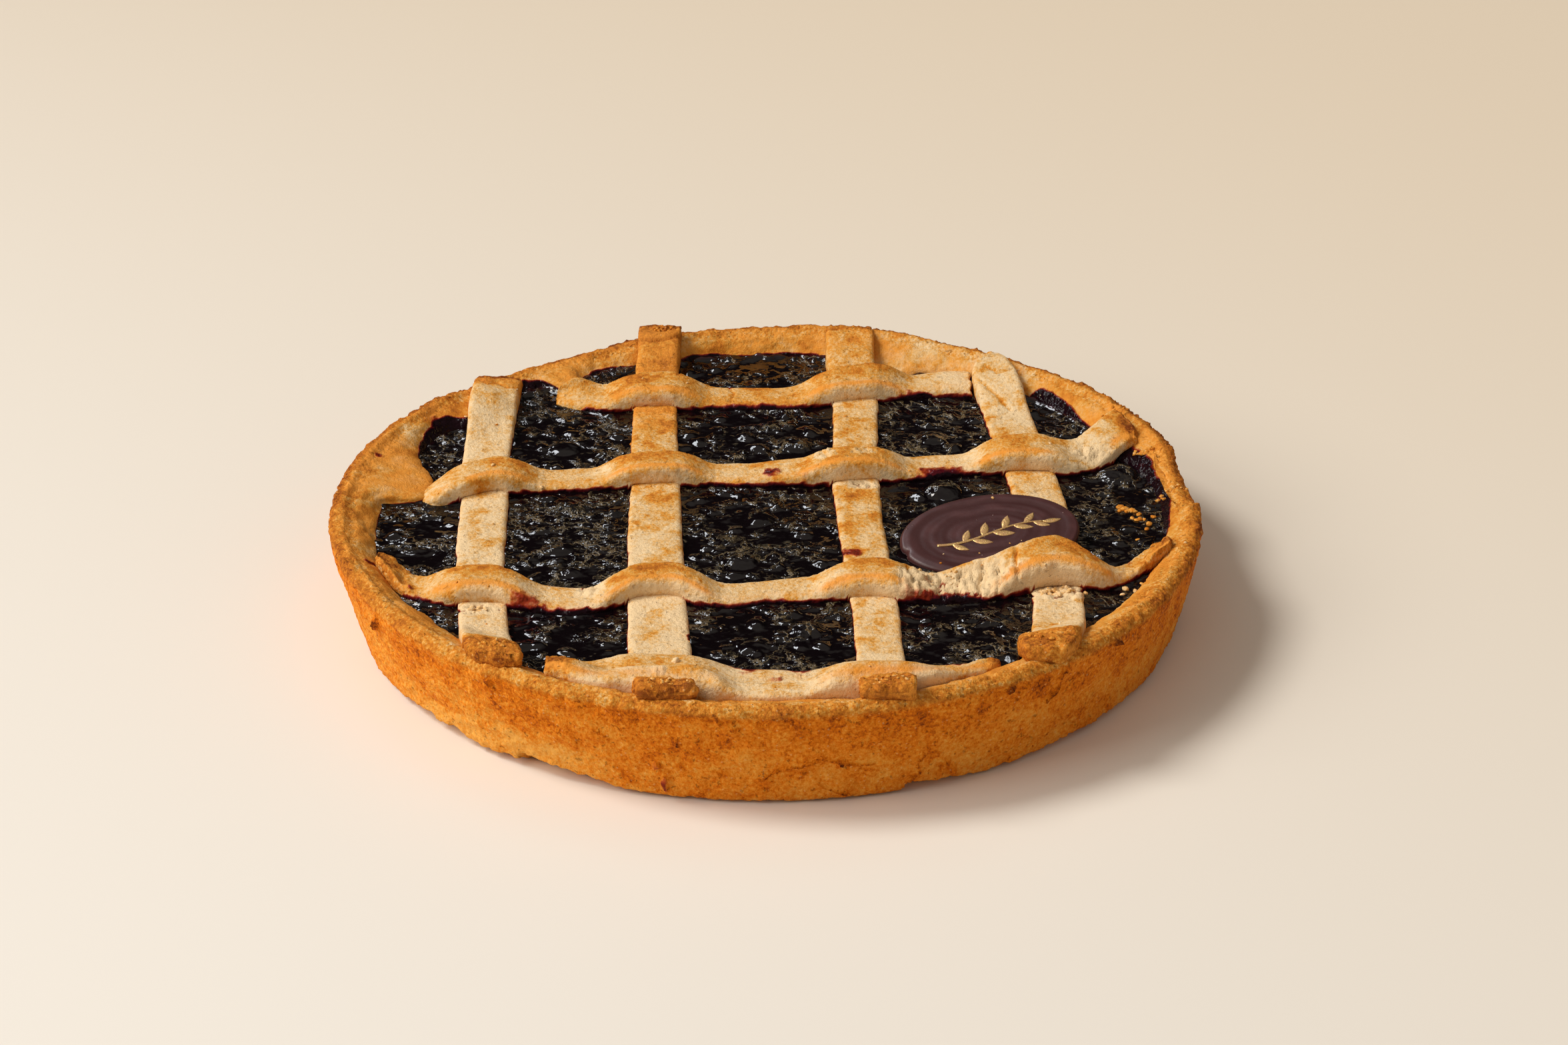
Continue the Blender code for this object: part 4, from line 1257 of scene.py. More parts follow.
ALONG_SQUARENESS = 8.0
ACROSS_SQUARENESS = 3.8
STRIPS = (
    StripPlan(
        "strip_along_1", False,
        (
            (-98.4, -66.4, 5.5, 3), (-96, -68.8, 10.5, 3.2), (-92, -71.2, 14.6, 3.4), (-83, -73, 14.2, 3.8),
            (-74, -74.8, 13.4, 4.4), (-44, -78.2, 13.4, 4.4), (-20, -80, 13.9, 4.5), (8, -80.8, 13.9, 4.5),
            (40, -82.4, 13.9, 4.5), (76, -82.1, 14.1, 3.8), (85, -81.4, 13.8, 1.6),
        ),
        (
            (-97, 0.54), (-84, 0.5), (-81, 0.22), (-60, 0.13), (-20, 0.16), (10, 0.18), (30, 0.2), (55, 0.22),
            (72, 0.26), (75, 0.42), (79, 0.68), (85, 0.84),
        ),
        ALONG_SQUARENESS, rounding=(0.7, 0.8), torn=(14.5, 2),
    ),
    StripPlan(
        "strip_along_2", False,
        (
            (-116.4, -25.6, 15.4, 3.4), (-111, -26.4, 15.6, 4.2), (-107, -26.8, 15.8, 4.6),
            (-101, -27.5, 16.8, 4.4), (-82, -28.5, 17.2, 4.4), (-50, -30.2, 16.1, 4.4), (-10, -31.9, 15.5, 4.5),
            (19, -32.5, 14.5, 4.5), (42, -33.4, 14, 4.5), (72, -34.1, 13.1, 4.5), (100, -33.9, 13, 4.2),
            (115, -33.6, 13.4, 2.6),
        ),
        (
            (-116, 0.6), (-106, 0.55), (-100, 0.18), (-60, 0.15), (-40, 0.2), (-10, 0.35), (20, 0.38), (50, 0.44),
            (75, 0.62), (95, 0.68), (104, 0.66), (109, 0.86), (115, 0.78),
        ),
        ALONG_SQUARENESS, rounding=(0.6, 0.8), torn=(9, 2.5),
    ),
    StripPlan(
        "strip_along_3", False,
        (
            (-116.6, 30.6, 14.2, 3.4), (-111, 30.4, 14.2, 4.2), (-107, 30.3, 14, 4.6), (-101, 30, 13.8, 4.4),
            (-82, 29.4, 12.8, 4.4), (-52, 28.5, 13.1, 4.4), (-25, 26.8, 13.1, 4.5), (-3, 25.6, 13.2, 4.5),
            (17, 25, 13.6, 4.5), (43, 25.2, 13.2, 4.5), (74, 25.9, 13.8, 4.5), (100, 24.9, 14.8, 3.6),
            (108, 24.8, 14.9, 2), (115.4, 24.8, 13.6, 0.9),
        ),
        (
            (-116, 0.55), (-106, 0.5), (-100, 0.26), (-60, 0.25), (-35, 0.28), (-12, 0.4), (14, 0.42), (40, 0.36),
            (80, 0.36), (98, 0.46), (105, 0.5), (118, 0.56),
        ),
        ALONG_SQUARENESS, sinks=(0, 0.3), rounding=(0.6, 1.5), torn=(8.5, 3),
    ),
    StripPlan(
        "strip_along_4", False,
        (
            (-96.6, 71.8, 9, 3.2), (-94, 72.2, 13.4, 3.6), (-89, 73, 16.2, 3.8), (-82, 73.6, 16.4, 4),
            (-74, 76.8, 14.6, 4.4), (-56, 78, 14, 4.4), (-42, 78.4, 14.3, 4.2), (-30, 78.8, 14.4, 1.8),
            (-12, 78.6, 14.5, 4), (5, 77.5, 14.6, 4.5), (24, 75.4, 14.5, 4.5), (50, 72.8, 14.6, 4.5),
            (78, 69.3, 14, 4.2), (86, 68, 13.6, 3.2), (91, 67.6, 10, 2.6), (95, 67.8, 5.6, 2),
            (97.6, 68.2, 2.4, 1.2),
        ),
        (
            (-96, 0.55), (-81, 0.48), (-76, 0.3), (-50, 0.2), (-10, 0.32), (20, 0.35), (50, 0.34), (70, 0.26),
            (80, 0.24), (92, 0.34), (98, 0.45),
        ),
        ALONG_SQUARENESS, sinks=(0, 1), rounding=(0.7, 1.2), torn=(14.5, 1.5),
    ),
    StripPlan(
        "strip_across_1", True,
        (
            (-64.4, 78.6, 4.6, 4), (-62.4, 78.6, 7.6, 4.6), (-57, 78.4, 13, 5), (-51, 77.9, 16, 4.8),
            (-38, 78.6, 14.4, 4.4), (-18, 78.7, 14.2, 4.5), (4, 78.5, 14.2, 4.5), (18, 80, 13.2, 4.5),
            (30, 82.3, 13.2, 4.4), (40, 84.4, 14, 4.8), (50, 86.6, 14.8, 5.4), (58, 87.2, 15.4, 5.6),
            (61.4, 87.2, 15.6, 5.6),
        ),
        (
            (-64, 0.45), (-57, 0.36), (-50, 0.36), (-34, 0.36), (-15, 0.42), (10, 0.44), (25, 0.36), (40, 0.3),
            (57, 0.2),
        ),
        ACROSS_SQUARENESS, sinks=(0.5, 0), rounding=(1.6, 0.5), follows=(-66, 53), slope=0.9, torn=(0, 1),
    ),
    StripPlan(
        "strip_across_2", True,
        (
            (-99.4, 14, 5, 1.2), (-97.4, 14.2, 9.6, 2.2), (-94.2, 14.8, 13.6, 3.2), (-90.4, 16.8, 15, 3.9),
            (-86, 18.4, 15, 4.2), (-80, 21.4, 14, 4.4), (-65, 22.4, 13.4, 4.4), (-50, 24, 12.8, 4.4),
            (-33, 25, 12.4, 4.4), (-18, 26, 12.4, 4.4), (-6, 25.6, 13, 4.6), (6, 25.8, 13.2, 6),
            (19, 25.6, 12.4, 5.5), (29, 26.8, 11.4, 5), (36, 27.5, 12.2, 4.6), (44, 29.8, 14.4, 4.4),
            (56, 31.8, 12.4, 4.4), (66, 32.4, 13.4, 4.8), (74, 33.3, 15.2, 5.2), (84, 33, 15.6, 4.4),
            (89, 33.2, 16.4, 4), (96, 38.4, 18.6, 3.2), (101.6, 45.6, 22.4, 2.6), (104.5, 44.6, 15.6, 2.2),
            (107.4, 41.2, 5, 1.8),
        ),
        (
            (-97, 0.3), (-94, 0.2), (-88, 0.14), (-80, 0.34), (-65, 0.3), (-50, 0.34), (-33, 0.4), (-15, 0.34),
            (5, 0.36), (22, 0.42), (40, 0.28), (55, 0.26), (74, 0.28), (86, 0.14), (98, 0.12), (102, 0.34),
            (107, 0.58),
        ),
        6, sinks=(1.8, 0.8), rounding=(3, 1), slope=1, torn=(0, 3.5),
    ),
    StripPlan(
        "strip_across_3", True,
        (
            (-107.8, -31.4, 4.5, 3.4), (-105.5, -30.6, 11, 3.8), (-102, -35, 15.4, 4), (-99, -39.4, 15.8, 4.2),
            (-96, -42.8, 13.6, 4.2), (-92, -44.2, 13, 4.2), (-86, -45.4, 14.4, 4.4), (-74, -45, 14.6, 4.4),
            (-64, -48.2, 15.2, 4.4), (-52, -50.6, 14.6, 4.4), (-43, -48.4, 13, 4.4), (-35, -43.8, 11.8, 4.5),
            (-26, -43.2, 11.6, 4.6), (-16, -47.4, 13.2, 4.6), (-8, -48, 12.4, 4.5), (0, -45.6, 11.2, 4.5),
            (10, -45, 13.8, 4.8), (19, -43.8, 13.4, 4.6), (28, -42.8, 15, 4.6), (38, -44.8, 15.6, 5),
            (50, -44.6, 15.8, 5), (60, -43, 16.2, 5.2), (70, -39, 16.4, 7.2), (79, -36.6, 16.4, 7.6),
            (87, -38.4, 14.4, 6.2), (92, -39.2, 11.2, 4.8), (95, -38.8, 9.8, 4.2), (98.5, -35.2, 11, 3.8),
            (103, -30.6, 11.8, 3.6), (108, -27.4, 9.2, 3.2), (111, -26.4, 6.4, 2.4),
        ),
        (
            (-108, 0.52), (-98, 0.42), (-90, 0.3), (-84, 0.28), (-74, 0.34), (-60, 0.24), (-44, 0.2), (-28, 0.3),
            (-10, 0.22), (4, 0.24), (25, 0.36), (38, 0.16), (58, 0.14), (70, 0.34), (80, 0.44), (90, 0.34),
            (97, 0.3), (105, 0.4), (111, 0.55),
        ),
        ACROSS_SQUARENESS, sinks=(0.6, 0.6), rounding=(0.8, 1.2), slope=1, torn=(11, 9),
    ),
    StripPlan(
        "strip_across_4", True,
        (
            (-58, -95.2, 8, 4.4), (-55, -94.6, 13, 5.2), (-50, -95, 18.4, 4.8), (-45, -95.6, 21.4, 4.2),
            (-40, -95.8, 22.4, 3.4), (-34, -96, 22.6, 2.8), (-20, -96.8, 22.4, 2.8), (-12, -98.2, 22.6, 3.8),
            (-2, -99.6, 21.6, 4.2), (8, -99.6, 21.4, 4.2), (17, -98.8, 20, 3.8), (23, -98.8, 19.2, 2.8),
            (37, -98.4, 16.6, 2.8), (42, -97, 16, 3.6), (46, -95, 16.2, 4), (52, -92.4, 13, 4),
            (60.6, -90.6, 7.8, 3),
        ),
        (
            (-59, 0.58), (-52, 0.4), (-46, 0.2), (-28, 0.18), (-12, 0.18), (8, 0.16), (28, 0.22), (42, 0.2),
            (52, 0.26), (60, 0.5),
        ),
        4.2, sinks=(0.4, 1), rounding=(0.8, 1.6), slope=0.7, torn=(7, 4), thinned=(3.2, 1.5, 0.2, 0, 0),
    ),
)
STRIP_STAINS = each(
    Spot,
    (0.6, 23.4, 2.4, 2.6, 0.85), (9.5, 20, 3.6, 1, 0.3), (50, 25.6, 7, 3, 0.85), (45, 77.6, 6, 1.8, 0.8),
    (-65, -54.4, 5.4, 3, 0.56), (-51, -57.4, 9, 1.4, 0.5), (-96.5, -45.5, 1.2, 1, 0.6),
    (22.6, -24.5, 3.2, 2.2, 0.75), (-20.2, -72, 0.9, 2.8, 0.6), (51, -53, 15, 3.4, 0.8), (43, -44.5, 2, 2.4, 0.35),
)
STRIP_SPOTS = each(
    Spot,
    (-81, 12, 5, 3, 0.3), (-79, -20, 4, 6, 0.18), (-33, 55, 6, 10, 0.15), (25, 55, 5, 9, 0.12), (25, 12, 6, 4, 0.2),
    (104.4, 47, 2.2, 9, 0.34), (98, 56, 5, 2.4, 0.24),
)


@dataclass
class Course:
    """How one strip lies: sampled finely from end to end, resting on what is under it."""

    plan: StripPlan
    bed: float
    supports: Sequence[Support]
    sample: float = 1.0 * MM
    # Where the lanes lie that are laid one by one, and how far each feels to its sides, in widths
    lanes: tuple[float, ...] = (-0.42, -0.21, 0.0, 0.21, 0.42)
    lane_reach: float = 0.07
    # What its sides drape on, where that differs
    close_supports: Sequence[Support] = ()
    # The steepest slope of a strip that runs along, towards the back, and of any strip's sides
    back_rise: float = 0.35
    drape: float = 5.0
    margin: float = 1.5 * MM
    # How many samples to each side take part where a course is smoothed
    smoothing: int = 3

    def __post_init__(self) -> None:
        """Works out the course, its underside and its top."""
        columns = np.array(self.plan.knots).T * MM
        alongs = columns[0]
        count = int(round((alongs[-1] - alongs[0]) / self.sample)) + 1
        self.along = np.linspace(alongs[0], alongs[-1], count)
        self.across, self.width, self.thickness = (
            relaxed(np.interp(self.along, alongs, column), self.smoothing) for column in columns[1:]
        )
        self.apart = np.abs(self.along[:, None] - self.along[None, :])
        slope = np.full(count, self.plan.slope)
        if not self.plan.runs_across:
            slope = np.where(self.along > 0, self.back_rise, slope)
        reach = (-self.lane_reach, 0.0, self.lane_reach)
        self.under = np.array([self.underside(share, slope, self.supports, reach) for share in self.lanes])
        steep, close = np.full(count, self.drape), self.close_supports or self.supports
        self.close = np.array([self.underside(share, steep, close, (0.0,)) for share in self.lanes])
        self.over = np.array([self.top(under) for under in self.under])

    def place(self, along: Array, across: Array) -> tuple[Array, Array]:
        """X and Y of points that are given along and across the strip, or the other way."""
        return (along, across) if self.plan.runs_across else (across, along)

    def beside(self, x: Array, y: Array) -> tuple[Array, Array]:
        """How far along points are, and how far beyond the strip's nearer edge.

        Args:
            x: X of the points.
            y: Y of the points.

        Returns:
            Both distances, the second negative inside the strip.
        """
        along, across = self.place(x, y)
        middle, half = (np.interp(along, self.along, line) for line in (self.across, self.width / 2))
        return along, np.abs(across - middle) - half

    def underside(
        self, share: float, steepest: Array, supports: Sequence[Support], reach: Sequence[float]
    ) -> Array:
        """Height of the underside along one lane, bridging what is too steep to follow.

        Args:
            share: Where the lane lies across the strip, -0.5 to 0.5.
            steepest: The steepest slope that the strip follows, at each sample.
            supports: What it rests on.
            reach: Places beside the lane, as shares of the width, that count too.

        Returns:
            The height at each sample.
        """
        rests = np.full(self.along.shape, self.bed)
        follows = (self.along >= self.plan.follows[0] * MM) & (self.along <= self.plan.follows[1] * MM)
        for step in reach:
            x, y = self.place(self.along, self.across + (share + step) * self.width)
            for support in supports:
                rests = np.where(follows, np.maximum(rests, support(x, y)), rests)
        return (rests[None, :] - steepest[:, None] * self.apart).max(axis=1)

    def top(self, under: Array) -> Array:
        """Height of the top over an underside: as far from it everywhere as the strip is thick."""
        reach = np.sqrt(np.maximum(self.thickness**2 - self.apart**2, 0))
        return relaxed(np.where(self.apart <= self.thickness, under + reach, 0).max(axis=1), self.smoothing)

    def top_at(self, x: Array, y: Array, margin: float) -> Array:
        """Height of the top at points, or 0 where the strip isn't.

        Args:
            x: X of the points.
            y: Y of the points.
            margin: How far beyond its edges the strip still counts.

        Returns:
            The heights.
        """
        along, beyond = self.beside(x, y)
        there = (along >= self.along[0] - margin) & (along <= self.along[-1] + margin) & (beyond <= margin)
        highest = np.max([np.interp(along, self.along, over) for over in self.over[::2]], axis=0)
        return np.where(there, highest, 0)

    def edge_distance(self, x: Array, y: Array) -> Array:
        """How far points are outside the strip's plan, negative inside it."""
        along, beyond = self.beside(x, y)
        return np.maximum(beyond, np.maximum(self.along[0] - along, along - self.along[-1]))


@dataclass
class Strip:
    """A strip of pastry laid along a course."""

    course: Course
    step: float = 0.5 * MM
    round_points: int = 34
    section_samples: int = 2000
    # The level at which the section is widest
    widest: float = 0.42
    settle: float = 1.5 * MM
    sink_reach: float = 7.0 * MM
    ceiling: float = 35.9 * MM
    jam_level: float = JAM_LEVEL
    # How far out the jam can reach a strip
    jam_reach: float = 111.5 * MM

    def section(self) -> tuple[Array, Array]:
        """Points evenly spaced round the section.

        Returns:
            Places across, from -0.5 to 0.5, and levels, from 0 to 1.
        """
        power = 2 / self.course.plan.squareness
        turn = np.linspace(0, math.tau, self.section_samples)
        cosine, sine = np.cos(turn), np.sin(turn)
        across = np.sign(cosine) * np.abs(cosine) ** power / 2
        level = np.sign(sine) * np.abs(sine) ** np.where(sine > 0, power, 0.25)
        level = self.widest * (1 + level) + np.where(level > 0, (1 - 2 * self.widest) * level, 0)
        run = np.hypot(np.diff(across) * STRIP_WIDTH, np.diff(level) * STRIP_THICKNESS)
        # The underside, which nobody sees, has fewer points
        weight = np.where(level[1:] < 0.3, 0.4, 1.0)
        run = np.concatenate([[0], np.cumsum(run * weight)])
        even = np.linspace(0, run[-1], self.round_points, endpoint=False)
        return np.interp(even, run, across), np.interp(even, run, level)

    def lay(self) -> tuple[Array, Array, Array, Array]:
        """The sweep of the section along the course.

        Returns:
            The points by station and place round the section, how far along each station is, the
            places across, and the levels.
        """
        course = self.course
        count = int((course.along[-1] - course.along[0]) / self.step)
        along = np.linspace(course.along[0], course.along[-1], count)
        share, level = self.section()
        middle = np.interp(along, course.along, course.across)
        width = np.interp(along, course.along, course.width)
        uneven = side_by_side(along, middle, 0.1)
        width = width * (1 + 0.035 * BROAD.layered(uneven, 11, 3))
        middle = middle + 0.25 * MM * MIDDLE.layered(uneven, 9, 2)
        lanes = np.array(course.lanes)
        under = np.array([relaxed(np.interp(along, course.along, line), 1) for line in course.close])
        softness = 13 if course.plan.runs_across else 5
        over = np.array([relaxed(np.interp(along, course.along, line), softness) for line in course.over])
        for end, sink in zip((along[0], along[-1]), course.plan.sinks):
            drop = sink * MM * eased(self.sink_reach - np.abs(along - end), 0, self.sink_reach)
            under, over = under - drop, over - drop
        slot = np.clip((share - lanes[0]) / (lanes[1] - lanes[0]), 0, len(lanes) - 1.001)
        first, part = slot.astype(int), (slot - slot.astype(int))[None, :]
        over = np.minimum(over, self.ceiling) - np.array(course.plan.thinned)[:, None] * MM
        if not course.plan.runs_across:
            under, over = (0.4 * heights + 0.6 * heights.mean(axis=0) for heights in (under, over))
        low = under.T[:, first] * (1 - part) + under.T[:, first + 1] * part - self.settle
        high = over.T[:, first] * (1 - part) + over.T[:, first + 1] * part
        first_end, last_end = (length * MM for length in course.plan.rounding)
        near = np.minimum((along - along[0]) / first_end, (along[-1] - along) / last_end)
        taper = np.sqrt(1 - (1 - np.clip(near, 0.004, 1)) ** 2)[:, None]
        across = middle[:, None] + share * width[:, None] * (0.75 + 0.25 * taper)
        height = low + (high - low) * (self.widest + (level - self.widest) * (0.25 + 0.75 * taper))
        x, y = course.place(along[:, None] + 0 * across, across)
        return side_by_side(x, y, height), along, share, level

    def arc(self, crest: Array, share: Array, level: Array) -> Array:
        """How the browning of a strip that runs across changes round its section where it humps over another: browner
        along the top, and paler on the front face, which is partly painted light.

        Args:
            crest: Height of the strip's top at each station.
            share: Places across of the section's points.
            level: Levels of the section's points.

        Returns:
            What is added to the browning, by station and point of the section.
        """
        hump = eased(crest, 27.4 * MM, 30.0 * MM)[:, None]
        band = 0.23 * bell(share, 0.16, 0.36) * (level > 0.6)
        # Paler front face: partly baked paler, partly painted light
        front = eased(-share, 0.36, 0.47) * eased(-level, -0.9, -0.6)
        return hump * (band - 0.26 * front) - 0.08 * front * (1 - hump)

    def build(self) -> Piece:
        """Builds and dresses the strip.

        Returns:
            The piece.
        """
        points, along, share, level = self.lay()
        plan = self.course.plan
        normals = surface_normals(points, (False, True))
        crest_line = np.argmax(level)
        if normals[:, crest_line, 2].mean() < 0:
            normals = -normals
        top = eased(level, 0.55, 0.9) + 0 * points[..., 0]
        side = 1 - top
        stretch = points * ((0.35, 1, 1) if plan.runs_across else (1, 0.35, 1))
        bend = np.abs(np.gradient(np.gradient(points[:, crest_line, 2], along), along))
        bend = eased(relaxed(bend, 6), 25, 90)[:, None]
        crumb, _, owner = FINE.cells(points, 1.5)
        from_ends = np.stack([along - along[0], along[-1] - along]) + 0.9 * MM * MIDDLE.layered(points[:, 0], 4, 2)
        near_end = eased(np.array(plan.torn)[:, None] * MM - from_ends, -0.6 * MM, 0.8 * MM).max(axis=0)[:, None]
        chip, _, chip_owner = MIDDLE.cells(points, 3.1)
        bake_alongs, bakes = zip(*plan.bake)
        baked = np.interp(along, np.array(bake_alongs) * MM, bakes)[:, None]
        rough = eased(baked, 0.3, 0.6)
        wrinkle = MIDDLE.creased(points * ((2.2, 0.7, 1) if plan.runs_across else (0.7, 2.2, 1)), 5, 2)
        move = (
            0.32 * BROAD.layered(points, 10, 2)
            + 0.13 * MIDDLE.layered(stretch, 2.6, 3)
            - 0.30 * wrinkle * bend * top
            + (0.06 + 0.22 * rough + 0.35 * near_end) * (0.5 - crumb) * (0.4 + owner)
            + near_end * (1.5 * (0.42 - chip) * (0.3 + chip_owner) + 0.5 * MIDDLE.layered(points, 3, 2))
        )
        move *= 0.35 + 0.65 * eased(level, 0.15, 0.5)
        flakes = patches(STRIP_FLAKES, points[..., 0], points[..., 1])
        _, edge, plate_owner = MIDDLE.cells(points * (1, 1, 0.4), 2.4)
        move += eased(flakes, 0.2, 0.7) * top * (1.3 * (plate_owner - 0.4) - 0.7 * (edge < 0.12))
        wobble = 0.4 * MM * MIDDLE.layered(points, 3, 2)
        cracked = np.zeros_like(move)
        for crack in STRIP_CRACKS:
            share_of_depth = crack.mask(points[..., 0] + wobble, points[..., 1] + wobble) * top
            cracked = np.maximum(cracked, share_of_depth)
            move -= share_of_depth * crack.depth
        points += normals * (move * MM)[..., None]

        # What its corners carry for the crust
        x, y = points[..., 0], points[..., 1]
        mottle = 0.22 * BROAD.layered(points, 13, 3) + 0.16 * MIDDLE.layered(stretch, 5, 3)
        browning = baked - (0.03 if plan.runs_across else 0.10) + mottle * (1 - 0.3 * near_end) + 0.05 * side
        browning += (0.10 if plan.runs_across else 0.28) * near_end
        crumbly = 0.6 + 0.2 * rough + 0.4 * near_end + 0 * x
        uneven = MIDDLE.layered(points, 6, 3)
        gold = near_end * 0.6 * uneven + (1 - near_end) * eased(baked, 0.40, 0.58) * (0.35 + 0.8 * uneven)
        if plan.runs_across:
            crest = points[:, crest_line, 2]
            # Browner crest and paler front face where it humps, the paler face partly painted light
            browning += self.arc(crest, share, level)
            edge_line = bell(share, -0.33, 0.08) * (level > 0.6) * eased(baked, 0.14, 0.26)
            humped = (0.12 + 0.88 * eased(crest, 27.0 * MM, 29.0 * MM))[:, None]
            gold += humped * edge_line * (1.25 + 1.2 * uneven)
        else:
            side_line = eased(share, 0.42, 0.49) * eased(level, 0.4, 0.6)
            gold += 0.5 * side_line * eased(uneven, -0.2, 0.3)
        # Painted shade: darker in the cracks that the relief cuts
        browning = browning + patches(STRIP_SPOTS, x, y) - 0.42 * eased(flakes, 0.1, 0.7) + 0.28 * cracked
        stain = patches(STRIP_STAINS, x, y, 1.1) * eased(level, 0.05, 0.3)
        line = self.jam_level + (1.7 if plan.runs_across else 1.1) * MM + 0.9 * MM * FINE.layered(points, 4, 3)
        line -= 2.2 * MM * (plan.sinks[0] > 0.4) * eased(10 * MM + along[0] - along, 0, 4 * MM)[:, None]
        low = eased(line - points[..., 2], 0, 1.5 * MM)
        stain += low * (np.hypot(x, y) < self.jam_reach) * (1.05 + 0.4 * MIDDLE.layered(points, 5, 2))
        name = plan.name.replace("strip", "pastry_strip")
        ends = np.stack([points[0].mean(axis=0), points[-1].mean(axis=0)])
        carried = {"browning": browning, "stain": stain, "crumbly": crumbly, "gold": np.clip(gold, 0, 0.9)}
        piece = closed_tube(name, points, ends, plan.runs_across, **carried)
        return dress(piece, STRIP_CRUST, [plan.name])


STRIP_CRACKS = each(
    Crack,
    (((-90, 78.6), (-87, 80), (-84.6, 77), (-81.8, 78.4), (-78.6, 76.6), (-73, 77.4)), 0.5, 0.8),
    (((-89, 83.6), (-84, 82), (-79, 83.4), (-74, 82.4)), 0.4, 0.6),
    (((-41, 106.4), (-38, 106), (-34.4, 105.2), (-30.4, 107), (-26, 108.9)), 0.6, 1.2),
    (((-38, 112), (-33, 110.6), (-29, 112.4)), 0.5, 0.9), (((63, 80.8), (67.2, 75.1), (72.1, 66.5)), 0.45, 0.7),
    (((65.4, 87.1), (69.1, 83.7), (73, 84.6)), 0.45, 0.6), (((65, 62.4), (68.6, 63.4), (71, 65.4)), 0.4, 0.5),
    (((67.4, -34), (67.5, -37.1), (66.5, -42.6), (67.6, -46.5), (66.6, -52.7)), 0.45, 1.1),
    (((52, -42.4), (51.4, -47), (52.5, -51.7)), 0.4, 0.9), (((58.3, -38), (57.1, -47.9), (57.7, -54)), 0.4, 0.8),
    (((46.9, -42.4), (46.3, -48), (47.5, -54.7)), 0.45, 1),
    (((38.3, -39.9), (39.7, -46), (38.8, -50), (40, -55)), 0.5, 1.1), (((62.9, -41.8), (61.5, -53.4)), 0.35, 0.6),
    (((-12, 84), (-10.5, 79), (-11.6, 74)), 0.35, 0.4),
)
STRIP_FLAKES = each(
    Spot,
    (-78, -56, 6, 3, 1), (62, -44, 7, 6, 0.9), (51, -45.5, 8, 6, 1.1), (40.5, -46, 6, 7, 1), (-28, -103, 3, 2, 0.8),
    (79, -48.5, 8, 3.6, 1.5), (-48, -47, 4.5, 4, 0.7), (27, 17.5, 5, 2.4, 0.9), (16, 27.5, 4, 4, 0.7),
    (27, 28.6, 5, 3, 0.6), (92, 33, 4, 3, 0.7),
)


STRIP_CRUST = CrustFinish("strip_crust", 0.46, 0.75, 0.52 * MM)


@dataclass
class Lattice:
    """The eight strips: four along, laid first, and four across over them."""

    case: Case
    plaque: "Plaque"
    along_bed: float = 21.2 * MM
    across_bed: float = 21.6 * MM
    case_clearance: float = 0.95 * MM
    crossing_gap: float = 0.7 * MM
    courses: list[Course] = field(default_factory=list)

    def lay(self) -> None:
        """Works out the courses, each resting on what was laid before it."""

        def on_case(x: Array, y: Array) -> Array:
            """Height at which a strip rests on the case."""
            return self.case.top(x, y) + self.case_clearance

        below = [Course(plan, self.along_bed, [on_case]) for plan in STRIPS if not plan.runs_across]

        def on_strips(x: Array, y: Array) -> Array:
            """Height at which a strip rests on those under it."""
            return np.max([course.top_at(x, y, course.margin) for course in below], axis=0) + self.crossing_gap

        def close_on_strips(x: Array, y: Array) -> Array:
            """Height of the strips under it, with nothing to spare beside them."""
            return np.max([course.top_at(x, y, -0.2 * MM) for course in below], axis=0) + self.crossing_gap

        supports = [on_case, on_strips, self.plaque.rest_height]
        close = [on_case, close_on_strips, self.plaque.rest_height]
        above = [
            Course(plan, self.across_bed, supports, close_supports=[on_case] if plan is STRIPS[-1] else close)
            for plan in STRIPS
            if plan.runs_across
        ]
        self.courses = [*below, *above]

    def build(self) -> list[Piece]:
        """Builds and dresses the strips."""
        return [Strip(course).build() for course in self.courses]


# The jam


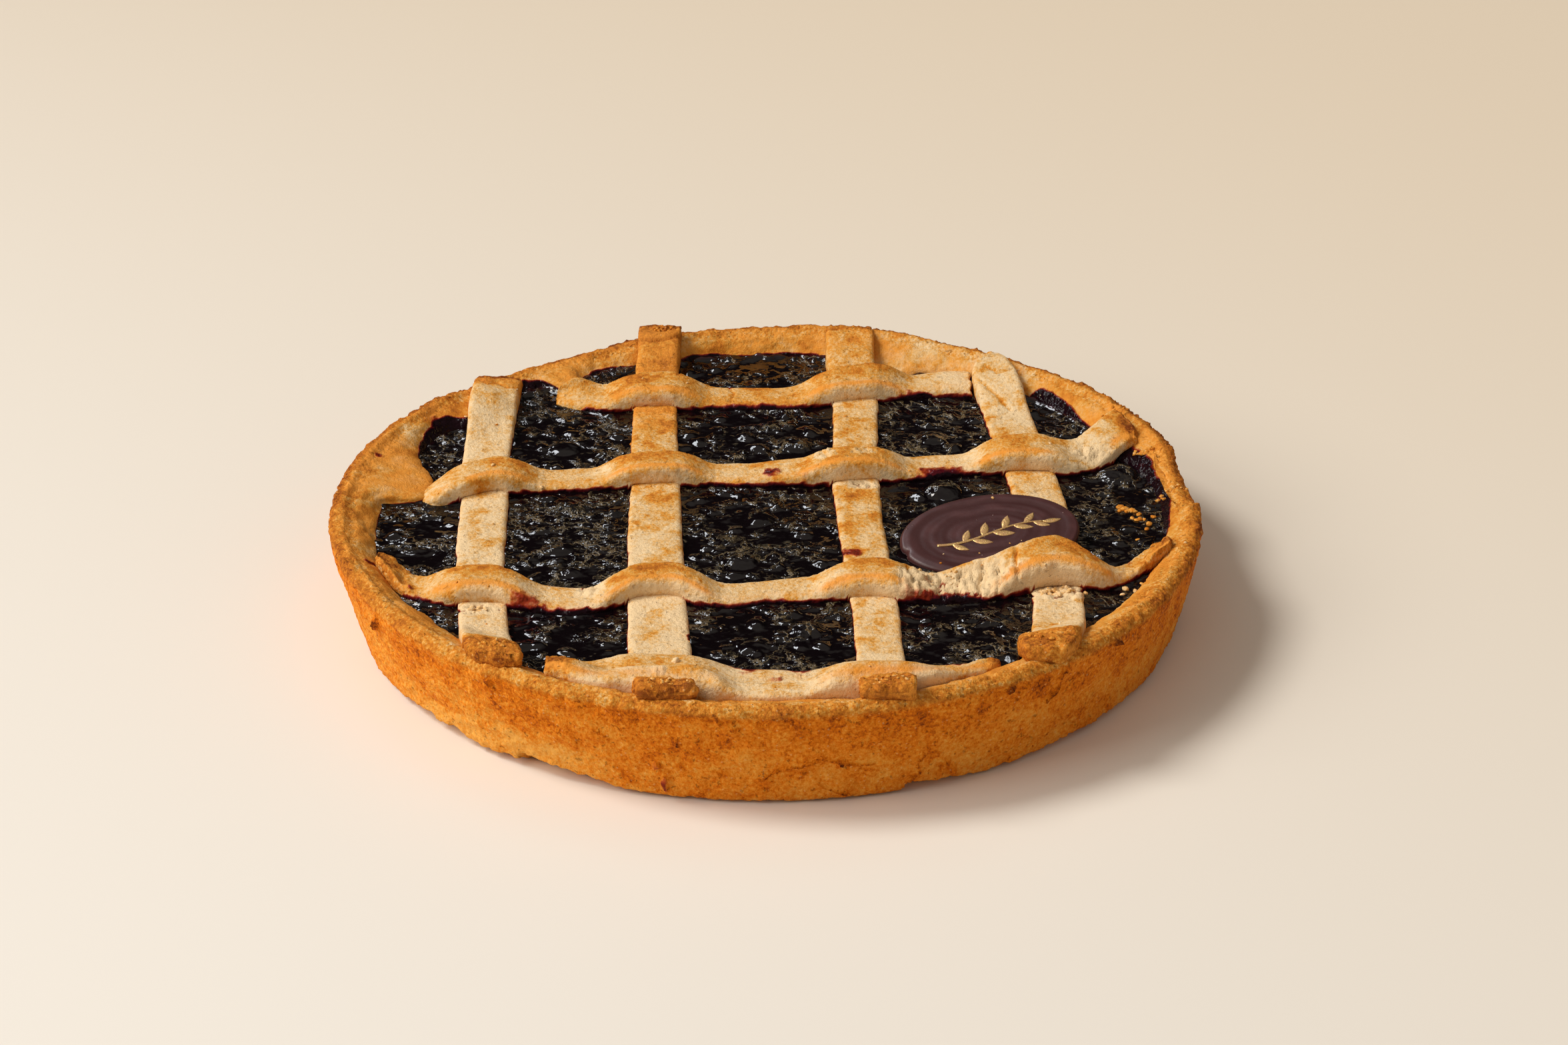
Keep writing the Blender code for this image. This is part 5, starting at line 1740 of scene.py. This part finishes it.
@dataclass
class Jam:
    """The berry jam between the strips."""

    case: Case
    lattice: Lattice
    level: float = JAM_LEVEL
    floor: float = 6.4 * MM
    cells: int = 308
    # X, Y, radius and rise in millimetres of the whole berries that stand out of the jam
    berries: tuple[tuple[float, float, float, float], ...] = (
        (50, 16.5, 5.5, 1.6), (100.5, 27, 6, 1.5), (-8, -26, 5, 1), (-56, 8, 4.5, 0.9), (-2, 0, 4, 0.8),
        (8, 48, 5, 1), (-58, -18, 4, 0.8), (48, 52, 4.5, 0.8), (10, -66, 4.5, 0.9), (-4, -76, 4, 0.7),
        (-60, 46, 4.6, 0.9), (45, -66, 4, 0.7),
    )

    def disc(self) -> tuple[Array, Array]:
        """A square grid of points drawn out to the round of the case.

        Returns:
            X and Y of the points.
        """
        side = np.linspace(-1, 1, self.cells)
        u, v = np.meshgrid(side, side, indexing="ij")
        x, y = u * np.sqrt(1 - v**2 / 2), v * np.sqrt(1 - u**2 / 2)
        azimuth = np.degrees(np.arctan2(y, x))
        radius = self.case.shore_radius(azimuth)
        return x * (radius + 1.5 * MM), y * (radius + 1.5 * MM)

    def build(self) -> Piece:
        """Builds and dresses the jam.

        Returns:
            The piece.
        """
        x, y = self.disc()
        flat = side_by_side(x, y, 0)
        drawn = flat + 1.6 * MM * side_by_side(BROAD.layered(flat, 7, 2), MIDDLE.layered(flat, 7, 2), 0)
        streaked = drawn @ np.array(Matrix.Rotation(0.3, 3, "Z")).T * (0.85, 1.0, 1)
        wrinkles = FINE.creased(streaked, 4.2, 2)
        wet = eased(BROAD.layered(flat + 0.05, 9, 2), -0.35, 0.25)
        # Whole and broken fruit under the surface, then the berries that stand out of it
        cell, _, owner = MIDDLE.cells(drawn, 5.6)
        fruit = 2.1 * np.sqrt(np.clip(1 - (cell / 0.62) ** 2, 0, 1)) * (0.25 + 0.75 * eased(owner, 0.2, 0.8))
        bit, _, bit_owner = FINE.cells(drawn, 3.5)
        scraps = 1.25 * np.sqrt(np.clip(1 - (bit / 0.62) ** 2, 0, 1)) * (0.3 + 0.7 * bit_owner)
        rise = -1.25 + 0.6 * BROAD.layered(flat, 11, 2) + np.maximum(fruit * (0.35 + 0.65 * wet), scraps)
        rise += (0.35 * scraps + 0.9 * wrinkles) * (1 - 0.8 * wet)
        for middle_x, middle_y, radius, stands in self.berries:
            away = np.hypot(x / MM - middle_x, y / MM - middle_y) / radius
            dome = stands * np.sqrt(np.clip(1 - away**2, 0, 1)) * 1.25
            rise = np.maximum(rise - 0.6 * (dome > 0), dome + 0.15 * rise * (away < 1))
        # The jam climbs up the wall and sinks under the strips
        wall = self.case.wall_distance(x, y)
        strip = np.min([course.edge_distance(x, y) for course in self.lattice.courses], axis=0)
        back = eased(y, 0.02, 0.08)
        open_jam = eased(strip, 0.2 * MM, 3.0 * MM)
        uneven = 0.6 + 0.8 * BROAD.layered(flat, 5, 2)
        climb = (0.5 + 0.8 * back) * uneven * np.exp(-np.clip(wall, 0, 1) / (1.1 * MM)) * eased(strip, -1 * MM, 0)
        edge = 0.35 * np.exp(-np.clip(strip, 0, 1) / (0.7 * MM)) - 0.35
        rise = rise * (0.35 + 0.65 * open_jam) + climb + edge
        height = self.level + rise * MM - 1.8 * MM * eased(-strip, 0.4 * MM, 1.6 * MM)
        thin = np.clip(eased(climb, 0.35, 1.5) * (0.6 + 0.6 * BROAD.layered(flat, 8, 2) + 0.4 * back), 0, 1)
        # Where the khaki threads go: dried film, with painted reflection in their colour; more towards the right
        skin = (0.35 + 0.65 * wrinkles) * (1.1 - wet) + 0.18 * eased(x, 0.02, 0.06)
        skin = np.clip(skin, 0, 1) * (1 - 0.8 * thin)
        points = side_by_side(x, y, height)
        count = self.cells
        shell = Shell("berry_jam")
        start = shell.add(points, [grid_faces(count, count, (False, False))], thin=thin, skin=skin)
        border = outline(count, count)[::-1] + start
        rim = points.reshape(-1, 3)[border]
        low = rim * (0.93, 0.93, 0) + (0, 0, self.floor)
        beneath = shell.add(np.concatenate([low, [[0, 0, self.floor]]]), [], thin=0.0, skin=0.0)
        ring = np.arange(len(border)) + beneath
        skirt = side_by_side(border, np.roll(border, -1), np.roll(ring, -1), ring)
        shell.faces.extend([skirt[:, ::-1], fan_faces(ring, beneath + len(border))[:, ::-1]])
        # The third colour, the khaki of the threads, is partly painted reflection
        finish = JamFinish("berry_jam", (0.003, 0.0015, 0.0022), (0.055, 0.003, 0.007), (0.16, 0.115, 0.055))
        return dress(shell.finish(), finish, ["jam"])


# The plaque


@dataclass
class Plaque:
    """The oval chocolate plaque that leans in the jam, with a gilded sprig of leaves."""

    length: float = 50.6 * MM
    width: float = 36.1 * MM
    thickness: float = 2.6 * MM
    clearance: float = 0.7 * MM
    centre: tuple[float, float, float] = (61.4 * MM, -17.5 * MM, 28.0 * MM)
    lean: float = 10.0
    bank: float = 2.0
    turn: float = 11.0
    rounding: float = 1.0 * MM
    margin: float = 1.5 * MM
    around: int = 240
    rings: int = 60
    leaf_grid: tuple[int, int] = (13, 7)
    leaves: int = 9
    stem_rings: int = 60
    stem_sides: int = 8

    def pose(self) -> Matrix:
        """The plaque turned in its own plane, banked to one side and leant back.

        Returns:
            Its pose in the tart's frame.
        """
        return (
            Matrix.Translation(self.centre)
            @ Matrix.Rotation(math.radians(self.lean), 4, "X")
            @ Matrix.Rotation(math.radians(-self.bank), 4, "Y")
            @ Matrix.Rotation(math.radians(self.turn), 4, "Z")
        )

    def placed(self, points: Array) -> Array:
        """Points of the plaque's own frame in the tart's frame."""
        pose = np.array(self.pose())
        return points @ pose[:3, :3].T + pose[:3, 3]

    def rest_height(self, x: Array, y: Array) -> Array:
        """Height of the top of the plaque with room to spare, or 0 beside it.

        Args:
            x: X of the points.
            y: Y of the points.

        Returns:
            The heights.
        """
        pose = np.array(self.pose())
        normal, centre = pose[:3, 2], pose[:3, 3]
        height = centre[2] - (normal[0] * (x - centre[0]) + normal[1] * (y - centre[1])) / normal[2]
        local = (side_by_side(x, y, height) - centre) @ pose[:3, :3]
        inside = (local[..., 0] / (self.length / 2 + self.margin)) ** 2
        inside += (local[..., 1] / (self.width / 2 + self.margin)) ** 2
        return np.where(inside < 1, height + self.clearance, 0)

    def build(self) -> Piece:
        """Builds and dresses the oval.

        Returns:
            The piece.
        """
        turn = np.linspace(0, math.tau, self.around, endpoint=False)[None, :]
        top = np.linspace(0.02, 1, self.rings)[:, None]
        arc = np.linspace(0, math.pi, 16)[1:-1, None]
        inward = self.rounding * (1 - np.sin(arc))
        drop = self.thickness / 2 * (1 - np.cos(arc))
        share = np.concatenate([top, np.ones_like(arc), top[::-3]])
        inset = np.concatenate([np.full_like(top, self.rounding), inward, np.full_like(top[::-3], self.rounding)])
        depth = np.concatenate([0 * top, drop, np.full_like(top[::-3], self.thickness)])
        x = (self.length / 2 - inset) * share * np.cos(turn)
        y = (self.width / 2 - inset) * share * np.sin(turn)
        z = -depth + 0 * x
        rolled = 0.12 * MM * bell(share, 0.93, 0.05) * (depth < 0.1 * MM)
        ripple = 0.018 * MM * np.sin(share * 60) * (depth < 0.1 * MM) * (share < 0.9)
        local = side_by_side(x, y, z + rolled + ripple)
        local[..., 2] += 0.10 * MM * BROAD.layered(local, 14, 2)
        nick = bell(local[..., 0], -25 * MM, 1.1 * MM) * bell(local[..., 1], -2.5 * MM, 1.3 * MM)
        local[..., 2] -= 0.7 * MM * nick * (depth < 1.3 * MM)
        local[..., 0] += 0.8 * MM * nick
        hubs = self.placed(np.array([[0, 0, 0], [0, 0, -self.thickness]]))
        piece = closed_tube("chocolate_plaque", self.placed(local), hubs, False, ring=share + 0 * x)
        # Its second colour is the painted reflection along the rings
        finish = ChocolateFinish("plaque_chocolate", (0.042, 0.010, 0.010), (0.076, 0.022, 0.022))
        return dress(piece, finish, ["plaque"])

    def leaf(self, root: Vector, angle: float, length: float, width: float) -> tuple[Array, Array]:
        """One leaf of the sprig, a thin raised blade with a vein.

        Args:
            root: Where it joins the stem, in the plaque's own frame.
            angle: Its direction.
            length: How long it is.
            width: How wide it is.

        Returns:
            Its corners and its faces.
        """
        rows, columns = self.leaf_grid
        along, across = np.linspace(0, 1, rows)[:, None], np.linspace(-1, 1, columns)[None, :]
        half = width / 2 * np.sin(math.pi * np.clip(along, 0.015, 0.985)) ** 0.8
        x, y = along * length + 0 * across, across * half + 0.12 * length * along**2
        z = 0.16 * MM * (1 - across**2) - 0.05 * MM * (np.abs(across) < 0.1) + 0 * x
        cosine, sine = math.cos(angle), math.sin(angle)
        points = side_by_side(root.x + x * cosine - y * sine, root.y + x * sine + y * cosine, z + 0.02 * MM)
        flat = points.copy()
        flat[..., 2] = -0.25 * MM
        size = rows * columns
        top = grid_faces(rows, columns, (False, False))
        border = outline(rows, columns)
        skirt = side_by_side(border, np.roll(border, -1), np.roll(border, -1) + size, border + size)
        return np.concatenate([points.reshape(-1, 3), flat.reshape(-1, 3)]), [top, top[:, ::-1] + size, skirt]

    def sprig(self) -> Piece:
        """Builds and dresses the gilded sprig of leaves.

        Returns:
            The piece.
        """
        shell = Shell("gilded_sprig")
        count, sides = self.stem_rings, self.stem_sides
        along = np.linspace(-1, 1, count)
        x = along * 15.5 * MM
        y = (2.4 * np.sin(along * 2.2) - 0.4) * MM
        stem = side_by_side(x, y, 0)
        slope = np.gradient(stem, axis=0)
        slope /= np.linalg.norm(slope, axis=1, keepdims=True)
        side = side_by_side(-slope[:, 1], slope[:, 0], 0)
        turn = np.linspace(0, math.tau, sides, endpoint=False)
        thick = (0.42 - 0.18 * along)[:, None] * MM
        ring = stem[:, None] + side[:, None] * (np.cos(turn) * thick)[..., None]
        ring += np.array((0, 0, 1)) * (np.sin(turn)[None, :] * 0.18 * MM + 0.04 * MM)[..., None]
        first = np.arange(sides)[None]
        ends = [first[:, ::-1], first + (count - 1) * sides]
        shell.add(self.placed(ring), [grid_faces(count, sides, (False, True))[:, ::-1], *ends])
        for number, at in enumerate(np.linspace(-0.72, 0.86, self.leaves)):
            place = int((at + 1) / 2 * (count - 1))
            heading = math.atan2(slope[place, 1], slope[place, 0])
            tilt = (0.75 if number % 2 else -0.75) * (1.0 - 0.2 * at)
            size = (6.4 - 1.6 * abs(at)) * MM
            corners, faces = self.leaf(Vector(stem[place]), heading + tilt, size, 0.40 * size)
            shell.add(self.placed(corners), faces)
        corners, faces = self.leaf(Vector(stem[-1]), math.atan2(slope[-1, 1], slope[-1, 0]), 5.2 * MM, 2.0 * MM)
        shell.add(self.placed(corners), faces)
        finish = GiltFinish("sprig_gilt", (0.80, 0.52, 0.20), (0.42, 0.24, 0.10))
        return dress(shell.finish(), finish)


# Loose crumbs


@dataclass
class Crumbs:
    """Crumbs and flakes that lie loose on the tart, each resting on what is under it."""

    rests_on: list[Piece]
    seed: int = 5
    strewn: int = 150
    lowest: float = 20 * MM
    # Size of the swells on a blank of radius 1 m, in millimetres
    lump_grain: float = 800.0
    # X, Y and size in millimetres, then browning, for those that stand out
    placed: tuple[tuple[float, float, float, float], ...] = (
        (99.6, 5.4, 1.8, 0.5), (100.9, 4.3, 2.4, 0.55), (102.8, 3.6, 2.1, 0.5), (104.6, 1.2, 1.7, 0.6),
        (106.9, -5.2, 2.1, 0.5), (103, -15, 1.8, 0.55), (103.6, 2.9, 1.5, 0.45), (-24, -92, 2.2, 0.1),
        (97, -44, 1.8, 0.1), (99.5, -45.5, 1.5, 0.15), (96, -47, 1.2, 0.1), (101.5, -42.5, 1.2, 0.2),
        (-79, 21, 1.3, 0.05), (-65, 16.5, 1.5, 0.3), (-80, -55.5, 1.7, 0.05), (-77.5, -57, 1.4, 0.05),
        (-90, 62, 1, 0.1), (106, -8, 1.6, 0.5), (108.5, -1, 1.5, 0.55), (63, -2, 1, 0.1),
    )

    # Where crumbs lie thick: X, Y and reach in millimetres, how many, size and browning
    clusters: tuple[tuple[float, float, float, int, float, float], ...] = (
        (78, -47.6, 6.5, 46, 1.5, 0.05), (-78, -56.4, 3.6, 14, 1.4, 0.05), (101.5, 3.6, 2.6, 12, 1.5, 0.5),
        (104.5, -1.5, 2.6, 8, 1.3, 0.5), (72, -88, 6, 16, 1.3, 0.45), (46, -43, 9, 18, 1, 0.05),
        (-33, 112, 4, 16, 1.5, 0.6), (109, 34, 3, 20, 1.3, 0.45), (114, 8, 3, 22, 1.4, 0.45),
        (103, 60, 5, 12, 1.1, 0.5), (-26, -113, 6, 12, 1.1, 0.35), (30, -113, 6, 14, 1.1, 0.35),
        (-70, -91, 6, 14, 1.2, 0.4),
    )

    def lump(self) -> tuple[Array, Array]:
        """A round blank for a crumb.

        Returns:
            Its corners and its faces.
        """
        work = bmesh.new()
        bmesh.ops.create_icosphere(work, subdivisions=3, radius=1)
        corners = np.array([vertex.co for vertex in work.verts])
        faces = np.array([[vertex.index for vertex in face.verts] for face in work.faces])
        work.free()
        return corners, faces

    def build(self) -> Piece:
        """Builds and dresses the crumbs.

        Returns:
            The piece.
        """
        graph = bpy.context.evaluated_depsgraph_get()
        trees = [BVHTree.FromObject(piece, graph) for piece in self.rests_on]
        draw = np.random.default_rng(self.seed)
        rows = [list(row) for row in self.placed]
        for x, y, reach, count, size, browning in self.clusters:
            for shift in draw.normal(size=(count, 2)) * (0.5 * reach, 0.22 * reach):
                own_size = size * (0.5 + 0.7 * draw.random())
                rows.append([x + shift[0], y + shift[1], own_size, browning + 0.15 * draw.random()])
        chosen = len(rows)
        for _ in range(self.strewn):
            radius, angle = 121 * math.sqrt(draw.random()), draw.random() * math.tau
            place = [radius * math.cos(angle), radius * math.sin(angle)]
            rows.append([*place, 0.35 + 0.6 * draw.random() ** 2, draw.random() * 0.6])
        corners, faces = self.lump()
        shell = Shell("loose_crumbs")
        for number, (x, y, size, browning) in enumerate(rows):
            hits = [tree.ray_cast(Vector((x * MM, y * MM, 0.1)), Vector((0, 0, -1)))[0] for tree in trees]
            heights = [hit.z if hit else 0.0 for hit in hits]
            height = max(heights)
            # The strewn ones keep off the jam, which comes first
            if height < self.lowest or (number >= chosen and heights.index(height) == 0):
                continue
            stretch = 0.5 * size * MM * np.array((1 + 0.3 * draw.random(), 0.8, 0.45 + 0.3 * draw.random()))
            turned = np.array(Matrix.Rotation(draw.random() * math.tau, 3, "Z"))
            shape = corners * (1 + 0.45 * FINE.layered(corners + number, self.lump_grain, 3)[:, None])
            points = (shape * stretch) @ turned.T + (x * MM, y * MM, height + 0.25 * stretch[2])
            shell.add(points, [faces], browning=browning, stain=0.0, crumbly=1.0, gold=0.0)
        return dress(shell.finish(), CrustFinish("crumb_crust", 0.4, 0.6, 0.3 * MM))


# The studio


@dataclass
class Studio:
    """The tabletop, the soft light from the left and the camera at the photograph's angle."""

    lens: float = 85.0
    sensor_width: float = 36.0
    elevation: float = 26.8977
    roll: float = -0.3168
    distance: float = 1095.805 * MM
    target: tuple[float, float, float] = (4.3003 * MM, 44.47592 * MM, 0.0)
    daylight_from: tuple[float, float, float] = (-0.62, 0.12, 0.72)
    daylight_strength: float = 2.1
    # How many degrees across the daylight looks
    daylight_spread: float = 20.0
    surrounding_strength: float = 0.42

    def camera(self) -> None:
        """Places the camera."""
        lift, roll = math.radians(self.elevation), math.radians(self.roll)
        forward = Vector((0, math.cos(lift), -math.sin(lift)))
        level, upright = Vector((1, 0, 0)), Vector((0, math.sin(lift), math.cos(lift)))
        right = level * math.cos(roll) + upright * math.sin(roll)
        up = upright * math.cos(roll) - level * math.sin(roll)
        data = bpy.data.cameras.new("camera")
        data.lens = self.lens
        data.sensor_width = self.sensor_width
        data.sensor_fit = "HORIZONTAL"
        data.clip_start = 0.05
        camera = new_object("camera", data)
        pose = Matrix((right, up, -forward)).transposed().to_4x4()
        pose.translation = Vector(self.target) - forward * self.distance
        camera.matrix_world = pose
        bpy.context.scene.camera = camera

    def lamp(
        self, name: str, place: Colour, size: tuple[float, float], power: float, colour: Colour, gloss: bool = False
    ) -> None:
        """Adds a soft rectangular light that faces the middle of the tart.

        Args:
            name: The light's name.
            place: Where it stands.
            size: Its width and height.
            power: Its strength in watts.
            colour: Its colour.
            gloss: Whether it shows in glossy surfaces alone.
        """
        data = bpy.data.lights.new(name, "AREA")
        data.shape = "RECTANGLE"
        data.size, data.size_y = size
        data.energy = power
        data.color = colour
        lamp = new_object(name, data)
        lamp.visible_diffuse = not gloss
        lamp.location = place
        lamp.rotation_euler = Vector(place).to_track_quat("Z", "Y").to_euler()

    def daylight(self) -> None:
        """Adds the even light of a large far window."""
        data = bpy.data.lights.new("daylight", "SUN")
        data.energy = self.daylight_strength
        data.angle = math.radians(self.daylight_spread)
        data.color = (1.0, 0.96, 0.90)
        new_object("daylight", data).rotation_euler = Vector(self.daylight_from).to_track_quat("Z", "Y").to_euler()

    def surroundings(self) -> None:
        """Lights the scene from all round, darker behind the tart."""
        world = bpy.data.worlds.new("studio")
        world.use_nodes = True
        net = Wiring(world.node_tree)
        way = net.add("ShaderNodeSeparateXYZ", {0: net.add("ShaderNodeTexCoord").outputs["Generated"]})
        behind = net.between(way.outputs[1], -0.1, 0.6)
        low = net.between(way.outputs[2], 0.9, 0.5)
        dark = net.maths("MULTIPLY", behind, low)
        skyline = net.between(way.outputs[2], 0.13, 0.24, 1, 0)
        shade = net.mix(skyline, (0.030, 0.026, 0.024), (0.75, 0.60, 0.36))
        colour = net.mix(dark, (1.0, 0.90, 0.78), shade)
        background = net.tree.nodes["Background"]
        net.join(colour, background, "Color")
        background.inputs["Strength"].default_value = self.surrounding_strength
        bpy.context.scene.world = world

    def build(self) -> None:
        """Builds the floor, the lights and the camera."""
        mesh = bpy.data.meshes.new("tabletop")
        mesh.from_pydata([(-4, -4, 0), (4, -4, 0), (4, 4, 0), (-4, 4, 0)], [], [(0, 1, 2, 3)])
        floor = new_object("tabletop", mesh)
        floor.location.z = -0.05 * MM
        # The tabletop's darker far colour is painted falloff of light
        mesh.materials.append(FloorFinish("tabletop", (0.785, 0.755, 0.71), (0.775, 0.672, 0.54)).material)
        self.daylight()
        self.lamp("window", (-1.3, -0.5, 0.9), (1.0, 0.8), 13, (1.0, 0.95, 0.88))
        self.lamp("glints", (-0.45, 0.80, 1.05), (0.42, 0.30), 5.5, (0.92, 0.95, 1.0), True)
        self.surroundings()
        self.camera()
        bpy.context.scene.view_settings.view_transform = "Standard"
        bpy.context.scene.cycles.use_denoising = True


def main() -> None:
    """Builds the tart and its studio."""
    logging.basicConfig(level=logging.INFO, format="%(message)s")
    case, plaque = Case(), Plaque()
    lattice = Lattice(case, plaque)
    lattice.lay()
    shell = case.build()
    strips = lattice.build()
    filling = Jam(case, lattice).build()
    oval = plaque.build()
    plaque.sprig()
    Crumbs([filling, shell, *strips, oval]).build()
    Studio().build()


if __name__ == "__main__":
    main()
